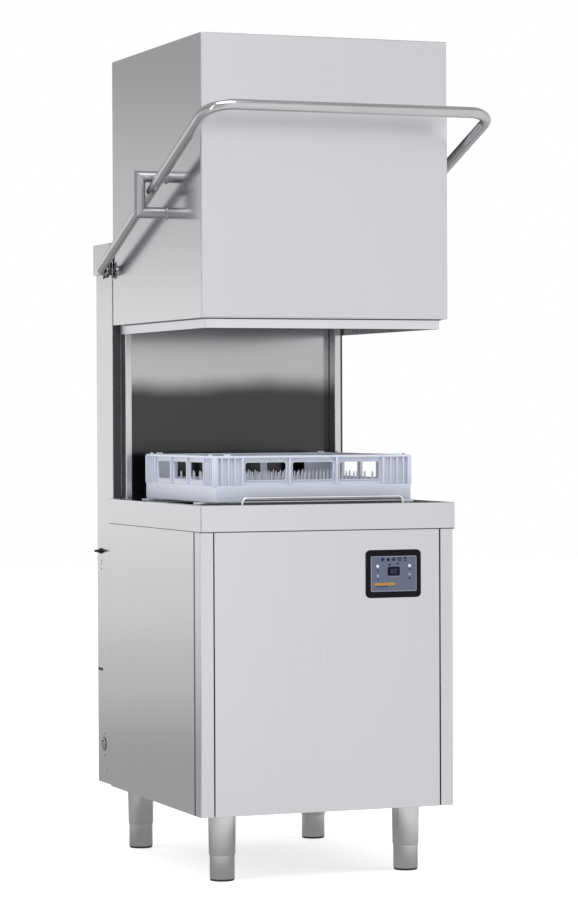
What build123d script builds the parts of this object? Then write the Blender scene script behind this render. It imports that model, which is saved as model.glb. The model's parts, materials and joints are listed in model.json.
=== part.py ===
"""Hood-type commercial dishwasher with its hood raised and one dish rack on its guides.

Millimetres. +X is to the machine's right as its user faces it, +Y to the back, +Z up.
The origin is on the floor, under the middle of the whole machine.
"""

import os
from math import atan2, cos, degrees, radians, sin

from build123d import *

os.makedirs("parts", exist_ok=True)

# ---------------------------------------------------------------- driving dimensions
SHEET = 1.5  # stainless sheet of the casing
THIN_SHEET = 1.0  # lighter sheet of the hood and the apron
RUN_CLEARANCE = 0.06  # radial clearance of a shaft in its bush

# lower body
BODY_HALF = 315.0  # half of the width over the side panels
BODY_FRONT = -314.0
BODY_REAR = 357.0
BODY_BOTTOM = 159.0
BODY_TOP = 845.0  # hidden behind the worktop's apron
SEAM = 3.0  # gap between a corner post and the front panel
SIDE_SEAM = 5.0  # gap between a corner post and the side panel
POST_WIDE = 32.0  # corner post, across the front
POST_DEEP = 38.0  # corner post, along the side

# worktop with its apron and the gutter that the hood's lip drops into
TOP_HALF = 316.4
TOP_FRONT = -324.0
TOP_REAR = 384.0
TOP_Z = 872.0
APRON_BOTTOM = 812.0
APRON_SEAM = 1.5  # open corner between the front and the side of the apron
DECK_Z = 850.0
GUTTER_HALF = 296.0
GUTTER_FRONT = -296.0
DECK_REAR = 353.2
TANK_MOUTH = 240.0
TANK_MOUTH_FRONT = -230.0
TANK_MOUTH_REAR = 280.0

# rear columns, with the cap that ties them together
COLUMN_INNER = 210.0
COLUMN_OUTER = 307.5
COLUMN_FRONT = 355.0
COLUMN_REAR = 484.0
COLUMN_TOP = 1503.5
CAP_HALF = 313.5
CAP_BOTTOM = 1430.0
CAP_REAR = 490.5
COVER_Y = 440.0

# hood
HOOD_HALF = 306.0
HOOD_FRONT = -306.0
HOOD_REAR = 352.0
HOOD_TOP = 1951.0
HOOD_BOTTOM = 1301.0
HOOD_PANEL_TOP = 1787.0
LINER_HALF = 292.0
LINER_FRONT = -292.0
LINER_REAR = 336.0
LINER_TOP = 1935.0
LIP_BOTTOM = 1278.0

# guide posts that the hood slides on
GUIDE_INNER = 270.0
GUIDE_OUTER = 286.0
GUIDE_FRONT = 314.0
GUIDE_REAR = 349.0
GUIDE_TOP = 1495.0

# handle
TUBE_R = 12.5
TUBE_BORE_R = 11.0
BAR_ARM_X = 348.0  # where an arm meets the bar
PIVOT_ARM_X = 336.0  # where it meets its pivot, since the arms close in towards the machine
BAR_Y = -478.0
BAR_Z = 1770.0
PIVOT_Y = 368.0
PIVOT_Z = 1436.0
JOURNAL_R = 7.0
LEG_END = 316.3  # where the tube's inward leg ends, just outside the bush
BRACKET_Y = -56.0
BRACKET_Z = 1596.0
BRACKET_GAP = 58.0  # clear height between a bracket's two bars
BAR_R = 13.25
BRACKET_OUTER = 383.0

# legs
LEG_X = 231.0
LEG_YS = (-221.0, 377.0)
SLEEVE_R = 32.5
FOOT_R = 29.0
SLEEVE_BOTTOM = 60.0
PAD_TOP = 4.0

# wash chamber
RACK_HALF = 250.0
RACK_Y = 25.5
RACK_CORNER = 12.0
RACK_BOTTOM = 876.0
RACK_TOP = 987.0
WIRE_R = 3.0
SPINDLE_R = 8.0
ARM_HALF = 215.0

# tank and machinery
TANK_HALF = 240.0
TANK_FRONT = -235.0
TANK_REAR = 285.0
TANK_BOTTOM = 610.0
PUMP_Z = 380.0
FLOOR_PAN_TOP = 190.5
DRAIN_XY = (-120.0, 150.0)
BOILER_XY = (185.0, 235.0)

# control panel
PANEL_X = 162.5
PANEL_Z = 707.0
BEZEL_SIZE = (138.0, 112.0)
FASCIA_SIZE = (117.0, 84.0)
FASCIA_Y = -317.5

SIDES = ((-1, "left"), (1, "right"))


# ---------------------------------------------------------------- helpers
def save(piece, name):
    """Label a finished piece and write its STEP file."""
    piece.part.label = name
    export_step(piece.part, f"parts/{name}.step")


def block(low, high, mode=Mode.ADD):
    """Add or cut a box between two opposite corners, given in any order."""
    centre = tuple((a + b) / 2 for a, b in zip(low, high))
    size = tuple(abs(b - a) for a, b in zip(low, high))
    with Locations(centre):
        Box(*size, mode=mode)


def rod(start, end, radius, mode=Mode.ADD):
    """Add or cut a cylinder between two points."""
    along = Vector(*end) - Vector(*start)
    with Locations(Plane(origin=start, z_dir=along).location):
        Cylinder(
            radius, along.length, align=(Align.CENTER, Align.CENTER, Align.MIN), mode=mode
        )


def pipe(points, bends, radius, mode=Mode.ADD):
    """Add or cut a round bar along straight runs joined by tangent arcs."""
    with BuildLine() as route:
        FilletPolyline(*points, radius=bends)
    start = Plane(origin=route.line @ 0, z_dir=route.line % 0)
    with BuildSketch(start) as section:
        Circle(radius)
    sweep(section.sketch, path=route.line, mode=mode)


def upright_edges(piece, x=None, y=None):
    """The vertical edges of a piece that stand at a given x or y."""
    found = piece.edges().filter_by(Axis.Z)
    if x is not None:
        found = found.filter_by(lambda edge: abs(edge.center().X - x) < 0.01)
    if y is not None:
        found = found.filter_by(lambda edge: abs(edge.center().Y - y) < 0.01)
    return found


# ---------------------------------------------------------------- base frame
FRAME_HALF = 298.5
FRAME_FRONT = -293.5
FRAME_REAR = 481.0
RAIL = 40.0
with BuildPart() as base_frame:
    block((-FRAME_HALF, FRAME_FRONT, BODY_BOTTOM), (FRAME_HALF, FRAME_REAR, FLOOR_PAN_TOP))
    block(
        (-FRAME_HALF + RAIL, FRAME_FRONT + RAIL, BODY_BOTTOM),
        (FRAME_HALF - RAIL, FRAME_REAR - RAIL, FLOOR_PAN_TOP - SHEET),
        mode=Mode.SUBTRACT,
    )
    for leg_y in LEG_YS:
        block(
            (-FRAME_HALF + RAIL, leg_y - RAIL / 2, BODY_BOTTOM),
            (FRAME_HALF - RAIL, leg_y + RAIL / 2, FLOOR_PAN_TOP - SHEET),
        )
    # notches round the two corner posts
    for side, _ in SIDES:
        block(
            (side * (BODY_HALF - POST_WIDE - 0.5), FRAME_FRONT, BODY_BOTTOM),
            (side * FRAME_HALF, BODY_FRONT + POST_DEEP + 0.5, FLOOR_PAN_TOP),
            mode=Mode.SUBTRACT,
        )
save(base_frame, "base_frame")

# ---------------------------------------------------------------- corner posts and panels
post_inner_x = BODY_HALF - POST_WIDE
post_back_y = BODY_FRONT + POST_DEEP
for side, hand in SIDES:
    with BuildPart() as corner_post:
        block(
            (side * post_inner_x, BODY_FRONT, BODY_BOTTOM),
            (side * BODY_HALF, post_back_y, BODY_TOP),
        )
        fillet(upright_edges(corner_post, side * BODY_HALF, BODY_FRONT), 3)
        block(
            (side * (post_inner_x + SHEET), BODY_FRONT + SHEET, BODY_BOTTOM),
            (side * (BODY_HALF - SHEET), post_back_y - SHEET, BODY_TOP),
            mode=Mode.SUBTRACT,
        )
    save(corner_post, f"corner_post_{hand}")

PANEL_RETURN = 16.0
side_panel_front = post_back_y + SIDE_SEAM
for side, hand in SIDES:
    with BuildPart() as side_panel:
        block(
            (side * (BODY_HALF - SHEET), side_panel_front, BODY_BOTTOM),
            (side * BODY_HALF, BODY_REAR, BODY_TOP),
        )
        block(
            (side * (BODY_HALF - PANEL_RETURN), side_panel_front, BODY_BOTTOM),
            (side * (BODY_HALF - SHEET), side_panel_front + SHEET, BODY_TOP),
        )
        block(
            (side * (BODY_HALF - PANEL_RETURN), DECK_REAR - SHEET, FLOOR_PAN_TOP),
            (side * (BODY_HALF - SHEET), DECK_REAR, BODY_TOP),
        )
        fillet(upright_edges(side_panel, side * BODY_HALF, side_panel_front), 1.2)
    save(side_panel, f"side_panel_{hand}")

FRONT_RETURN = 20.0
APERTURE = (125.4, 99.4)
front_half = post_inner_x - SEAM
with BuildPart() as front_panel:
    block(
        (-front_half, BODY_FRONT, BODY_BOTTOM),
        (front_half, BODY_FRONT + FRONT_RETURN, BODY_TOP),
    )
    for side, _ in SIDES:
        fillet(upright_edges(front_panel, side * front_half, BODY_FRONT), 1.2)
    block(
        (-front_half + SHEET, BODY_FRONT + SHEET, BODY_BOTTOM + SHEET),
        (front_half - SHEET, BODY_FRONT + FRONT_RETURN, BODY_TOP - SHEET),
        mode=Mode.SUBTRACT,
    )
    block(
        (PANEL_X - APERTURE[0] / 2, BODY_FRONT - 1, PANEL_Z - APERTURE[1] / 2),
        (PANEL_X + APERTURE[0] / 2, BODY_FRONT + SHEET + 1, PANEL_Z + APERTURE[1] / 2),
        mode=Mode.SUBTRACT,
    )
save(front_panel, "front_panel")

# ---------------------------------------------------------------- rear columns and cap
BUSH_R = 10.0
for side, hand in SIDES:
    with BuildPart() as rear_column:
        block(
            (side * COLUMN_INNER, COLUMN_FRONT, BODY_BOTTOM),
            (side * COLUMN_OUTER, COLUMN_REAR, COLUMN_TOP),
        )
        fillet(upright_edges(rear_column, side * COLUMN_OUTER), 2)
        block(
            (side * (COLUMN_INNER + SHEET), COLUMN_FRONT + SHEET, BODY_BOTTOM),
            (side * (COLUMN_OUTER - SHEET), COLUMN_REAR - SHEET, COLUMN_TOP),
            mode=Mode.SUBTRACT,
        )
        # the lowest stretch keeps only its outer and rear walls, round the base frame
        block(
            (side * (COLUMN_INNER - 1), COLUMN_FRONT - 1, BODY_BOTTOM),
            (side * (COLUMN_OUTER - SHEET), COLUMN_REAR - SHEET, FLOOR_PAN_TOP + 0.5),
            mode=Mode.SUBTRACT,
        )
        rod(
            (side * (COLUMN_OUTER - 5), PIVOT_Y, PIVOT_Z),
            (side * (COLUMN_OUTER + 5), PIVOT_Y, PIVOT_Z),
            BUSH_R,
            mode=Mode.SUBTRACT,
        )
    save(rear_column, f"rear_column_{hand}")

with BuildPart() as column_cap:
    block(
        (-CAP_HALF, COLUMN_FRONT, CAP_BOTTOM),
        (CAP_HALF, CAP_REAR, COLUMN_TOP + SHEET),
    )
    for side, _ in SIDES:
        fillet(upright_edges(column_cap, side * CAP_HALF, CAP_REAR), 2)
    block(
        (-CAP_HALF + SHEET, COLUMN_FRONT - 1, CAP_BOTTOM),
        (CAP_HALF - SHEET, CAP_REAR - SHEET, COLUMN_TOP),
        mode=Mode.SUBTRACT,
    )
    rod(
        (-CAP_HALF - 1, PIVOT_Y, PIVOT_Z), (CAP_HALF + 1, PIVOT_Y, PIVOT_Z), BUSH_R + 0.3,
        mode=Mode.SUBTRACT,
    )
save(column_cap, "column_cap")

# ---------------------------------------------------------------- back wall and rear cover
FEED_Z = 1370.0
FEED_R = 17.0
WALL_TOP = 1500.0
with BuildPart() as back_wall:
    block(
        (-GUIDE_INNER, DECK_REAR, DECK_Z - SHEET),
        (GUIDE_INNER, DECK_REAR + SHEET, WALL_TOP),
    )
    rod((0, DECK_REAR - 1, FEED_Z), (0, DECK_REAR + 3, FEED_Z), FEED_R + 0.5, mode=Mode.SUBTRACT)
save(back_wall, "back_wall")

INLET_X, INLET_Z, INLET_R = 120.0, 300.0, 13.2
DRAIN_OUT_Z, DRAIN_R = 300.0, 15.0
GLAND_X, GLAND_Z, GLAND_R = -10.0, 300.0, 12.5
COVER_HALF = COLUMN_INNER - 0.2
LOUVRE_COUNT, LOUVRE_PITCH = 10, 16.0
with BuildPart() as rear_cover:
    block(
        (-COVER_HALF, COVER_Y, FLOOR_PAN_TOP),
        (COVER_HALF, COVER_Y + 15, CAP_BOTTOM - 2),
    )
    block(
        (-COVER_HALF + SHEET, COVER_Y + SHEET, FLOOR_PAN_TOP),
        (COVER_HALF - SHEET, COVER_Y + 15, CAP_BOTTOM - 2),
        mode=Mode.SUBTRACT,
    )
    for x, z, hole in (
        (INLET_X, INLET_Z, INLET_R + 1),
        (DRAIN_XY[0], DRAIN_OUT_Z, DRAIN_R + 0.5),
        (GLAND_X, GLAND_Z, GLAND_R),
    ):
        rod((x, COVER_Y - 1, z), (x, COVER_Y + 3, z), hole, mode=Mode.SUBTRACT)
    for row in range(LOUVRE_COUNT):
        z = 480 + row * LOUVRE_PITCH
        block((-70, COVER_Y - 1, z), (70, COVER_Y + 3, z + 6), mode=Mode.SUBTRACT)
save(rear_cover, "rear_cover")

# ---------------------------------------------------------------- worktop
with BuildPart() as worktop:
    block((-TOP_HALF, TOP_FRONT, APRON_BOTTOM), (TOP_HALF, TOP_REAR, TOP_Z))
    fillet(upright_edges(worktop, y=TOP_FRONT), 2)
    fillet(worktop.faces().sort_by(Axis.Z)[-1].edges(), 1.2)
    # hollow underneath, open to the back
    block(
        (-TOP_HALF + THIN_SHEET, TOP_FRONT + THIN_SHEET, APRON_BOTTOM),
        (TOP_HALF - THIN_SHEET, TOP_REAR + 1, TOP_Z - SHEET),
        mode=Mode.SUBTRACT,
    )
    for side, _ in SIDES:
        block(
            (side * (TOP_HALF - APRON_SEAM), TOP_FRONT - 1, APRON_BOTTOM - 1),
            (side * (TOP_HALF + 1), TOP_FRONT + APRON_SEAM, TOP_Z - 3),
            mode=Mode.SUBTRACT,
        )
    # the tray that forms the gutter and the deck
    block(
        (-GUTTER_HALF - SHEET, GUTTER_FRONT - SHEET, DECK_Z - SHEET),
        (GUTTER_HALF + SHEET, DECK_REAR, TOP_Z - SHEET),
    )
    block(
        (-GUTTER_HALF, GUTTER_FRONT, DECK_Z),
        (GUTTER_HALF, DECK_REAR + 1, TOP_Z + 1),
        mode=Mode.SUBTRACT,
    )
    block(
        (-TANK_MOUTH, TANK_MOUTH_FRONT, DECK_Z - 5),
        (TANK_MOUTH, TANK_MOUTH_REAR, DECK_Z + 1),
        mode=Mode.SUBTRACT,
    )
    # room for the rear columns
    block(
        (-COLUMN_OUTER - 1.5, DECK_REAR, APRON_BOTTOM - 1),
        (COLUMN_OUTER + 1.5, TOP_REAR + 1, TOP_Z + 1),
        mode=Mode.SUBTRACT,
    )
save(worktop, "worktop")

# ---------------------------------------------------------------- wash tank and its filters
SUCTION_X = -165.0
SUCTION_R = 22.0
FEED_PIPE_R = 15.0
tank_top = DECK_Z - SHEET
with BuildPart() as wash_tank:
    block((-TANK_HALF, TANK_FRONT, TANK_BOTTOM), (TANK_HALF, TANK_REAR, tank_top))
    fillet(wash_tank.edges().filter_by(Axis.Z), 24)
    fillet(wash_tank.faces().sort_by(Axis.Z)[0].edges(), 12)
    block(
        (-TANK_HALF - 12, TANK_FRONT - 12, tank_top - SHEET),
        (TANK_HALF + 12, TANK_REAR + 12, tank_top),
    )
    with BuildPart(mode=Mode.PRIVATE) as tank_room:
        block(
            (-TANK_HALF + SHEET, TANK_FRONT + SHEET, TANK_BOTTOM + SHEET),
            (TANK_HALF - SHEET, TANK_REAR - SHEET, tank_top + 20),
        )
        fillet(tank_room.edges().filter_by(Axis.Z), 22.5)
        fillet(tank_room.faces().sort_by(Axis.Z)[0].edges(), 10.5)
    add(tank_room.part, mode=Mode.SUBTRACT)
    for x, y, hole in (
        (0, RACK_Y, FEED_PIPE_R + 0.5),
        (SUCTION_X, RACK_Y, SUCTION_R - 3),
        (*DRAIN_XY, 14),
    ):
        rod((x, y, TANK_BOTTOM - 1), (x, y, TANK_BOTTOM + 3), hole, mode=Mode.SUBTRACT)
    for x in (80, 190):
        rod((x, TANK_FRONT - 5, 650), (x, TANK_FRONT + 5, 650), 4.3, mode=Mode.SUBTRACT)
save(wash_tank, "wash_tank")

FILTER_TOP = 824.0
with BuildPart() as tank_filters:
    for side, _ in SIDES:
        block((side * 24, TANK_FRONT + 12, FILTER_TOP - 22), (side * 228, TANK_REAR - 12, FILTER_TOP))
        block(
            (side * 26, TANK_FRONT + 14, FILTER_TOP - 20),
            (side * 226, TANK_REAR - 14, FILTER_TOP + 1),
            mode=Mode.SUBTRACT,
        )
        with Locations((side * 126, (TANK_FRONT + TANK_REAR) / 2, FILTER_TOP - 21)):
            with GridLocations(36, 48, 5, 10):
                Cylinder(6, 6, mode=Mode.SUBTRACT)
save(tank_filters, "tank_filters")

# ---------------------------------------------------------------- legs
with BuildPart() as leg_sleeves:
    for leg_y in LEG_YS:
        for side, _ in SIDES:
            rod((side * LEG_X, leg_y, SLEEVE_BOTTOM), (side * LEG_X, leg_y, BODY_BOTTOM), SLEEVE_R)
    chamfer(leg_sleeves.edges().group_by(Axis.Z)[0], 6, 2.2)
    for leg_y in LEG_YS:
        for side, _ in SIDES:
            rod(
                (side * LEG_X, leg_y, SLEEVE_BOTTOM - 1),
                (side * LEG_X, leg_y, BODY_BOTTOM - 6),
                FOOT_R + 0.4,
                mode=Mode.SUBTRACT,
            )
save(leg_sleeves, "leg_sleeves")

FOOT_TOP = 122.0
for leg_y, place in zip(LEG_YS, ("front", "rear")):
    for side, hand in SIDES:
        with BuildPart() as foot:
            rod((side * LEG_X, leg_y, 0), (side * LEG_X, leg_y, PAD_TOP), FOOT_R - 1)
            rod((side * LEG_X, leg_y, PAD_TOP), (side * LEG_X, leg_y, FOOT_TOP), FOOT_R)
            rod(
                (side * LEG_X, leg_y, PAD_TOP + 4),
                (side * LEG_X, leg_y, FOOT_TOP + 1),
                FOOT_R - 3,
                mode=Mode.SUBTRACT,
            )
        save(foot, f"foot_{place}_{hand}")

# ---------------------------------------------------------------- guide posts and rack guides
with BuildPart() as guide_posts:
    for side, _ in SIDES:
        block((side * GUIDE_INNER, GUIDE_FRONT, DECK_Z), (side * GUIDE_OUTER, GUIDE_REAR, GUIDE_TOP))
        block(
            (side * (GUIDE_INNER + 4), GUIDE_REAR, TOP_Z + 3),
            (side * (GUIDE_OUTER - 2), COLUMN_FRONT, GUIDE_TOP - 5),
        )
    fillet(upright_edges(guide_posts, y=GUIDE_FRONT), 2)
save(guide_posts, "guide_posts")

FENCES = ((-283.0, 200.0), (294.0, 236.0))  # y and half width of the loops either side of the rack
FENCE_TOP = 887.0
CROSS_X = 262.0
CROSS_Z = 865.0
with BuildPart() as rack_guides:
    for fence_y, fence_half in FENCES:
        pipe(
            [
                (-fence_half, fence_y, DECK_Z),
                (-fence_half, fence_y, FENCE_TOP),
                (fence_half, fence_y, FENCE_TOP),
                (fence_half, fence_y, DECK_Z),
            ],
            12,
            WIRE_R,
        )
        rod((-CROSS_X, fence_y, CROSS_Z), (CROSS_X, fence_y, CROSS_Z), WIRE_R)
        for side, _ in SIDES:
            rod((side * CROSS_X, fence_y, DECK_Z), (side * CROSS_X, fence_y, CROSS_Z), WIRE_R)
    for side, _ in SIDES:
        rod(
            (side * CROSS_X, FENCES[0][0], CROSS_Z), (side * CROSS_X, FENCES[1][0], CROSS_Z), WIRE_R
        )
    for rail_y in (RACK_Y - 190, RACK_Y + 190):
        rod(
            (-CROSS_X - 15, rail_y, RACK_BOTTOM - WIRE_R - 0.3),
            (CROSS_X + 15, rail_y, RACK_BOTTOM - WIRE_R - 0.3),
            WIRE_R,
        )
save(rack_guides, "rack_guides")

# ---------------------------------------------------------------- wash water feeds
LOWER_WASH_Z = 836.0
LOWER_RINSE_Z = 854.5
BRANCH_Z = 560.0
BRANCH_R = 12.0
with BuildPart() as lower_feed:
    rod((0, RACK_Y, 520), (0, RACK_Y, LOWER_WASH_Z - 0.4), FEED_PIPE_R)
    rod((0, RACK_Y, BRANCH_Z), (0, 150, BRANCH_Z), BRANCH_R)
    rod((0, RACK_Y, 519), (0, RACK_Y, LOWER_WASH_Z - 8), FEED_PIPE_R - 2, mode=Mode.SUBTRACT)
    rod((0, RACK_Y, BRANCH_Z), (0, 151, BRANCH_Z), BRANCH_R - 2, mode=Mode.SUBTRACT)
    rod((0, RACK_Y, LOWER_WASH_Z - 8), (0, RACK_Y, LOWER_RINSE_Z + 9), SPINDLE_R)
    rod((0, RACK_Y, LOWER_RINSE_Z + 8.4), (0, RACK_Y, LOWER_RINSE_Z + 12), 12)
save(lower_feed, "lower_feed")

UPPER_WASH_Z = 1332.0
UPPER_RINSE_Z = 1319.5
RISER_Y = 400.0
with BuildPart() as upper_feed:
    feed_route = [
        (0, 330, BRANCH_Z),
        (0, RISER_Y, BRANCH_Z),
        (0, RISER_Y, FEED_Z),
        (0, RACK_Y, FEED_Z),
        (0, RACK_Y, UPPER_WASH_Z + 14.4),
    ]
    pipe(feed_route, [30, 30, 22], FEED_R)
    pipe(feed_route[:-1], [30, 30], FEED_R - 2, mode=Mode.SUBTRACT)
    rod((0, RACK_Y, UPPER_WASH_Z + 20), (0, RACK_Y, UPPER_RINSE_Z - 1), SPINDLE_R)
    rod((0, RACK_Y, UPPER_RINSE_Z - 0.4), (0, RACK_Y, UPPER_RINSE_Z - 4), 12)
save(upper_feed, "upper_feed")


def spray_arm(name, bottom, half, wide, tall, hub_r, turn, jets_up):
    """A flat spray arm with a round hub, its bore on the spindle and a row of jets."""
    with BuildPart() as arm:
        with BuildSketch(Plane.XY.offset(bottom)):
            with Locations((0, RACK_Y)):
                SlotOverall(2 * half, wide, rotation=turn)
                Circle(hub_r)
        extrude(amount=tall)
        jet_z = bottom + tall if jets_up else bottom
        for jet in (-0.88, -0.66, -0.44, -0.22, 0.22, 0.44, 0.66, 0.88):
            x = jet * half * cos(radians(turn))
            y = RACK_Y + jet * half * sin(radians(turn))
            rod((x, y, jet_z - 2.5), (x, y, jet_z + 2.5), 3, mode=Mode.SUBTRACT)
        rod(
            (0, RACK_Y, bottom - 1),
            (0, RACK_Y, bottom + tall + 1),
            SPINDLE_R + RUN_CLEARANCE,
            mode=Mode.SUBTRACT,
        )
    save(arm, name)


spray_arm("lower_wash_arm", LOWER_WASH_Z, ARM_HALF, 40, 16, 26, 18, True)
spray_arm("lower_rinse_arm", LOWER_RINSE_Z, ARM_HALF - 10, 18, 8, 15, 100, True)
spray_arm("upper_wash_arm", UPPER_WASH_Z, ARM_HALF, 40, 14, 26, -25, False)
spray_arm("upper_rinse_arm", UPPER_RINSE_Z, ARM_HALF - 10, 18, 8, 15, 60, False)

# ---------------------------------------------------------------- wash pump
PUMP_LOW_X, PUMP_HIGH_X = -28.0, 26.0
MOTOR_END = 215.0
with BuildPart() as pump_casing:
    rod((PUMP_LOW_X, RACK_Y, PUMP_Z), (PUMP_HIGH_X, RACK_Y, PUMP_Z), 82)
    fillet(pump_casing.edges().group_by(Axis.X)[0], 8)
    rod((-70, RACK_Y, PUMP_Z), (PUMP_LOW_X, RACK_Y, PUMP_Z), SUCTION_R)
    rod((0, RACK_Y, PUMP_Z), (0, RACK_Y, 500), FEED_PIPE_R + 3)
    rod((0, RACK_Y, PUMP_Z), (0, RACK_Y, 501), FEED_PIPE_R, mode=Mode.SUBTRACT)
    rod((PUMP_LOW_X + 5, RACK_Y, PUMP_Z), (PUMP_HIGH_X - 5, RACK_Y, PUMP_Z), 72, mode=Mode.SUBTRACT)
    rod((-71, RACK_Y, PUMP_Z), (0, RACK_Y, PUMP_Z), SUCTION_R - 3, mode=Mode.SUBTRACT)
    rod((0, RACK_Y, PUMP_Z), (PUMP_HIGH_X + 1, RACK_Y, PUMP_Z), SPINDLE_R + 1, mode=Mode.SUBTRACT)
save(pump_casing, "pump_casing")

with BuildPart() as pump_motor:
    rod((PUMP_HIGH_X, RACK_Y, PUMP_Z), (MOTOR_END, RACK_Y, PUMP_Z), 62)
    block((50, RACK_Y - 50, FLOOR_PAN_TOP), (190, RACK_Y + 50, PUMP_Z - 40))
    rod((50, RACK_Y, PUMP_Z), (190, RACK_Y, PUMP_Z), 40.5, mode=Mode.SUBTRACT)
    rod(
        (PUMP_HIGH_X - 1, RACK_Y, PUMP_Z),
        (205, RACK_Y, PUMP_Z),
        SPINDLE_R + RUN_CLEARANCE,
        mode=Mode.SUBTRACT,
    )
save(pump_motor, "pump_motor")

with BuildPart() as pump_rotor:
    rod((-10, RACK_Y, PUMP_Z), (203, RACK_Y, PUMP_Z), SPINDLE_R)
    rod((55, RACK_Y, PUMP_Z), (185, RACK_Y, PUMP_Z), 39.5)
    rod((-18, RACK_Y, PUMP_Z), (-12, RACK_Y, PUMP_Z), 60)
    rod((-18, RACK_Y, PUMP_Z), (-4, RACK_Y, PUMP_Z), 22)
    for vane in range(6):
        angle = radians(60 * vane)
        reach = Vector(0, cos(angle), sin(angle)) * 58
        rod((-8, RACK_Y, PUMP_Z), (-8, RACK_Y + reach.Y, PUMP_Z + reach.Z), 4)
save(pump_rotor, "pump_rotor")

# ---------------------------------------------------------------- water, heat and dosing
BOILER_R = 78.0
BOILER_TOP = 470.0
boiler_x, boiler_y = BOILER_XY
with BuildPart() as booster_boiler:
    rod((*BOILER_XY, FLOOR_PAN_TOP), (*BOILER_XY, BOILER_TOP), BOILER_R)
    fillet(booster_boiler.edges().group_by(Axis.Z)[-1], 24)
    with BuildPart(mode=Mode.PRIVATE) as boiler_room:
        rod((*BOILER_XY, FLOOR_PAN_TOP + 3), (*BOILER_XY, BOILER_TOP - 3), BOILER_R - 3)
        fillet(boiler_room.edges().group_by(Axis.Z)[-1], 21)
    add(boiler_room.part, mode=Mode.SUBTRACT)
save(booster_boiler, "booster_boiler")

ELEMENT_R = 4.0
ELEMENT_Z = 650.0
with BuildPart() as heating_elements:
    pipe(
        [
            (80, TANK_FRONT - 14, ELEMENT_Z),
            (80, 180, ELEMENT_Z),
            (190, 180, ELEMENT_Z),
            (190, TANK_FRONT - 14, ELEMENT_Z),
        ],
        35,
        ELEMENT_R,
    )
    pipe(
        [
            (boiler_x - 35, boiler_y, FLOOR_PAN_TOP + 3),
            (boiler_x - 35, boiler_y, 400),
            (boiler_x + 35, boiler_y, 400),
            (boiler_x + 35, boiler_y, FLOOR_PAN_TOP + 3),
        ],
        30,
        ELEMENT_R,
    )
save(heating_elements, "heating_elements")

with BuildPart() as inlet_valve:
    block((INLET_X - 22, 385, INLET_Z - 20), (INLET_X + 22, 438, INLET_Z + 20))
    rod((INLET_X, 438, INLET_Z), (INLET_X, 452, INLET_Z), 11)
    rod((INLET_X, 452, INLET_Z), (INLET_X, 470, INLET_Z), INLET_R)
    rod((INLET_X, 410, INLET_Z + 20), (INLET_X, 410, INLET_Z + 58), 17)
    rod((INLET_X, 400, INLET_Z), (INLET_X, 471, INLET_Z), 7, mode=Mode.SUBTRACT)
save(inlet_valve, "inlet_valve")

with BuildPart() as drain_pipe:
    drain_route = [
        (*DRAIN_XY, TANK_BOTTOM),
        (*DRAIN_XY, DRAIN_OUT_Z),
        (DRAIN_XY[0], 476, DRAIN_OUT_Z),
    ]
    pipe(drain_route, 45, DRAIN_R)
    rod((DRAIN_XY[0], 446, DRAIN_OUT_Z), (DRAIN_XY[0], 476, DRAIN_OUT_Z), DRAIN_R + 1)
    pipe(drain_route, 45, DRAIN_R - 2, mode=Mode.SUBTRACT)
save(drain_pipe, "drain_pipe")

with BuildPart() as overflow_standpipe:
    rod((*DRAIN_XY, TANK_BOTTOM + SHEET + 0.3), (*DRAIN_XY, TANK_BOTTOM + 12), 20)
    rod((*DRAIN_XY, TANK_BOTTOM + 12), (*DRAIN_XY, 766), 14)
    rod((*DRAIN_XY, TANK_BOTTOM), (*DRAIN_XY, 767), 11.5, mode=Mode.SUBTRACT)
save(overflow_standpipe, "overflow_standpipe")

with BuildPart() as wash_hoses:
    rod((0, RACK_Y, 500), (0, RACK_Y, 520), FEED_PIPE_R + 3)
    rod((0, RACK_Y, 499), (0, RACK_Y, 521), FEED_PIPE_R, mode=Mode.SUBTRACT)
    rod((0, 150, BRANCH_Z), (0, 330, BRANCH_Z), FEED_R + 3)
    rod((0, 149, BRANCH_Z), (0, 331, BRANCH_Z), FEED_R, mode=Mode.SUBTRACT)
    suction_route = [
        (SUCTION_X, RACK_Y, TANK_BOTTOM),
        (SUCTION_X, RACK_Y, PUMP_Z),
        (-70, RACK_Y, PUMP_Z),
    ]
    pipe(suction_route, 50, SUCTION_R)
    pipe(suction_route, 50, SUCTION_R - 3, mode=Mode.SUBTRACT)
    pipe(
        [
            (INLET_X, 385, INLET_Z),
            (INLET_X, 345, INLET_Z),
            (boiler_x, 345, INLET_Z),
            (boiler_x, boiler_y + BOILER_R + 0.5, INLET_Z),
        ],
        18,
        8,
    )
save(wash_hoses, "wash_hoses")

with BuildPart() as dosing_pumps:
    for x in (-200, -110):
        block((x - 32, TANK_FRONT - 26, 660), (x + 32, TANK_FRONT, 740))
        rod((x, TANK_FRONT - 26, 700), (x, TANK_FRONT - 48, 700), 26)
save(dosing_pumps, "dosing_pumps")

with BuildPart() as electrical_box:
    block((20, TANK_FRONT - 50, 670), (230, TANK_FRONT, 810))
    block((21, TANK_FRONT - 49, 671), (229, TANK_FRONT - 1, 809), mode=Mode.SUBTRACT)
save(electrical_box, "electrical_box")

with BuildPart() as cable_gland:
    rod((GLAND_X, COVER_Y - 8, GLAND_Z), (GLAND_X, COVER_Y + 30, GLAND_Z), GLAND_R)
    with BuildSketch(Plane.XZ.offset(-(COVER_Y + SHEET))) as gland_hexagon:
        with Locations((GLAND_X, GLAND_Z)):
            RegularPolygon(17, 6)
    extrude(amount=-9)
    rod((GLAND_X, COVER_Y - 9, GLAND_Z), (GLAND_X, COVER_Y + 31, GLAND_Z), 7, mode=Mode.SUBTRACT)
save(cable_gland, "cable_gland")

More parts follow.
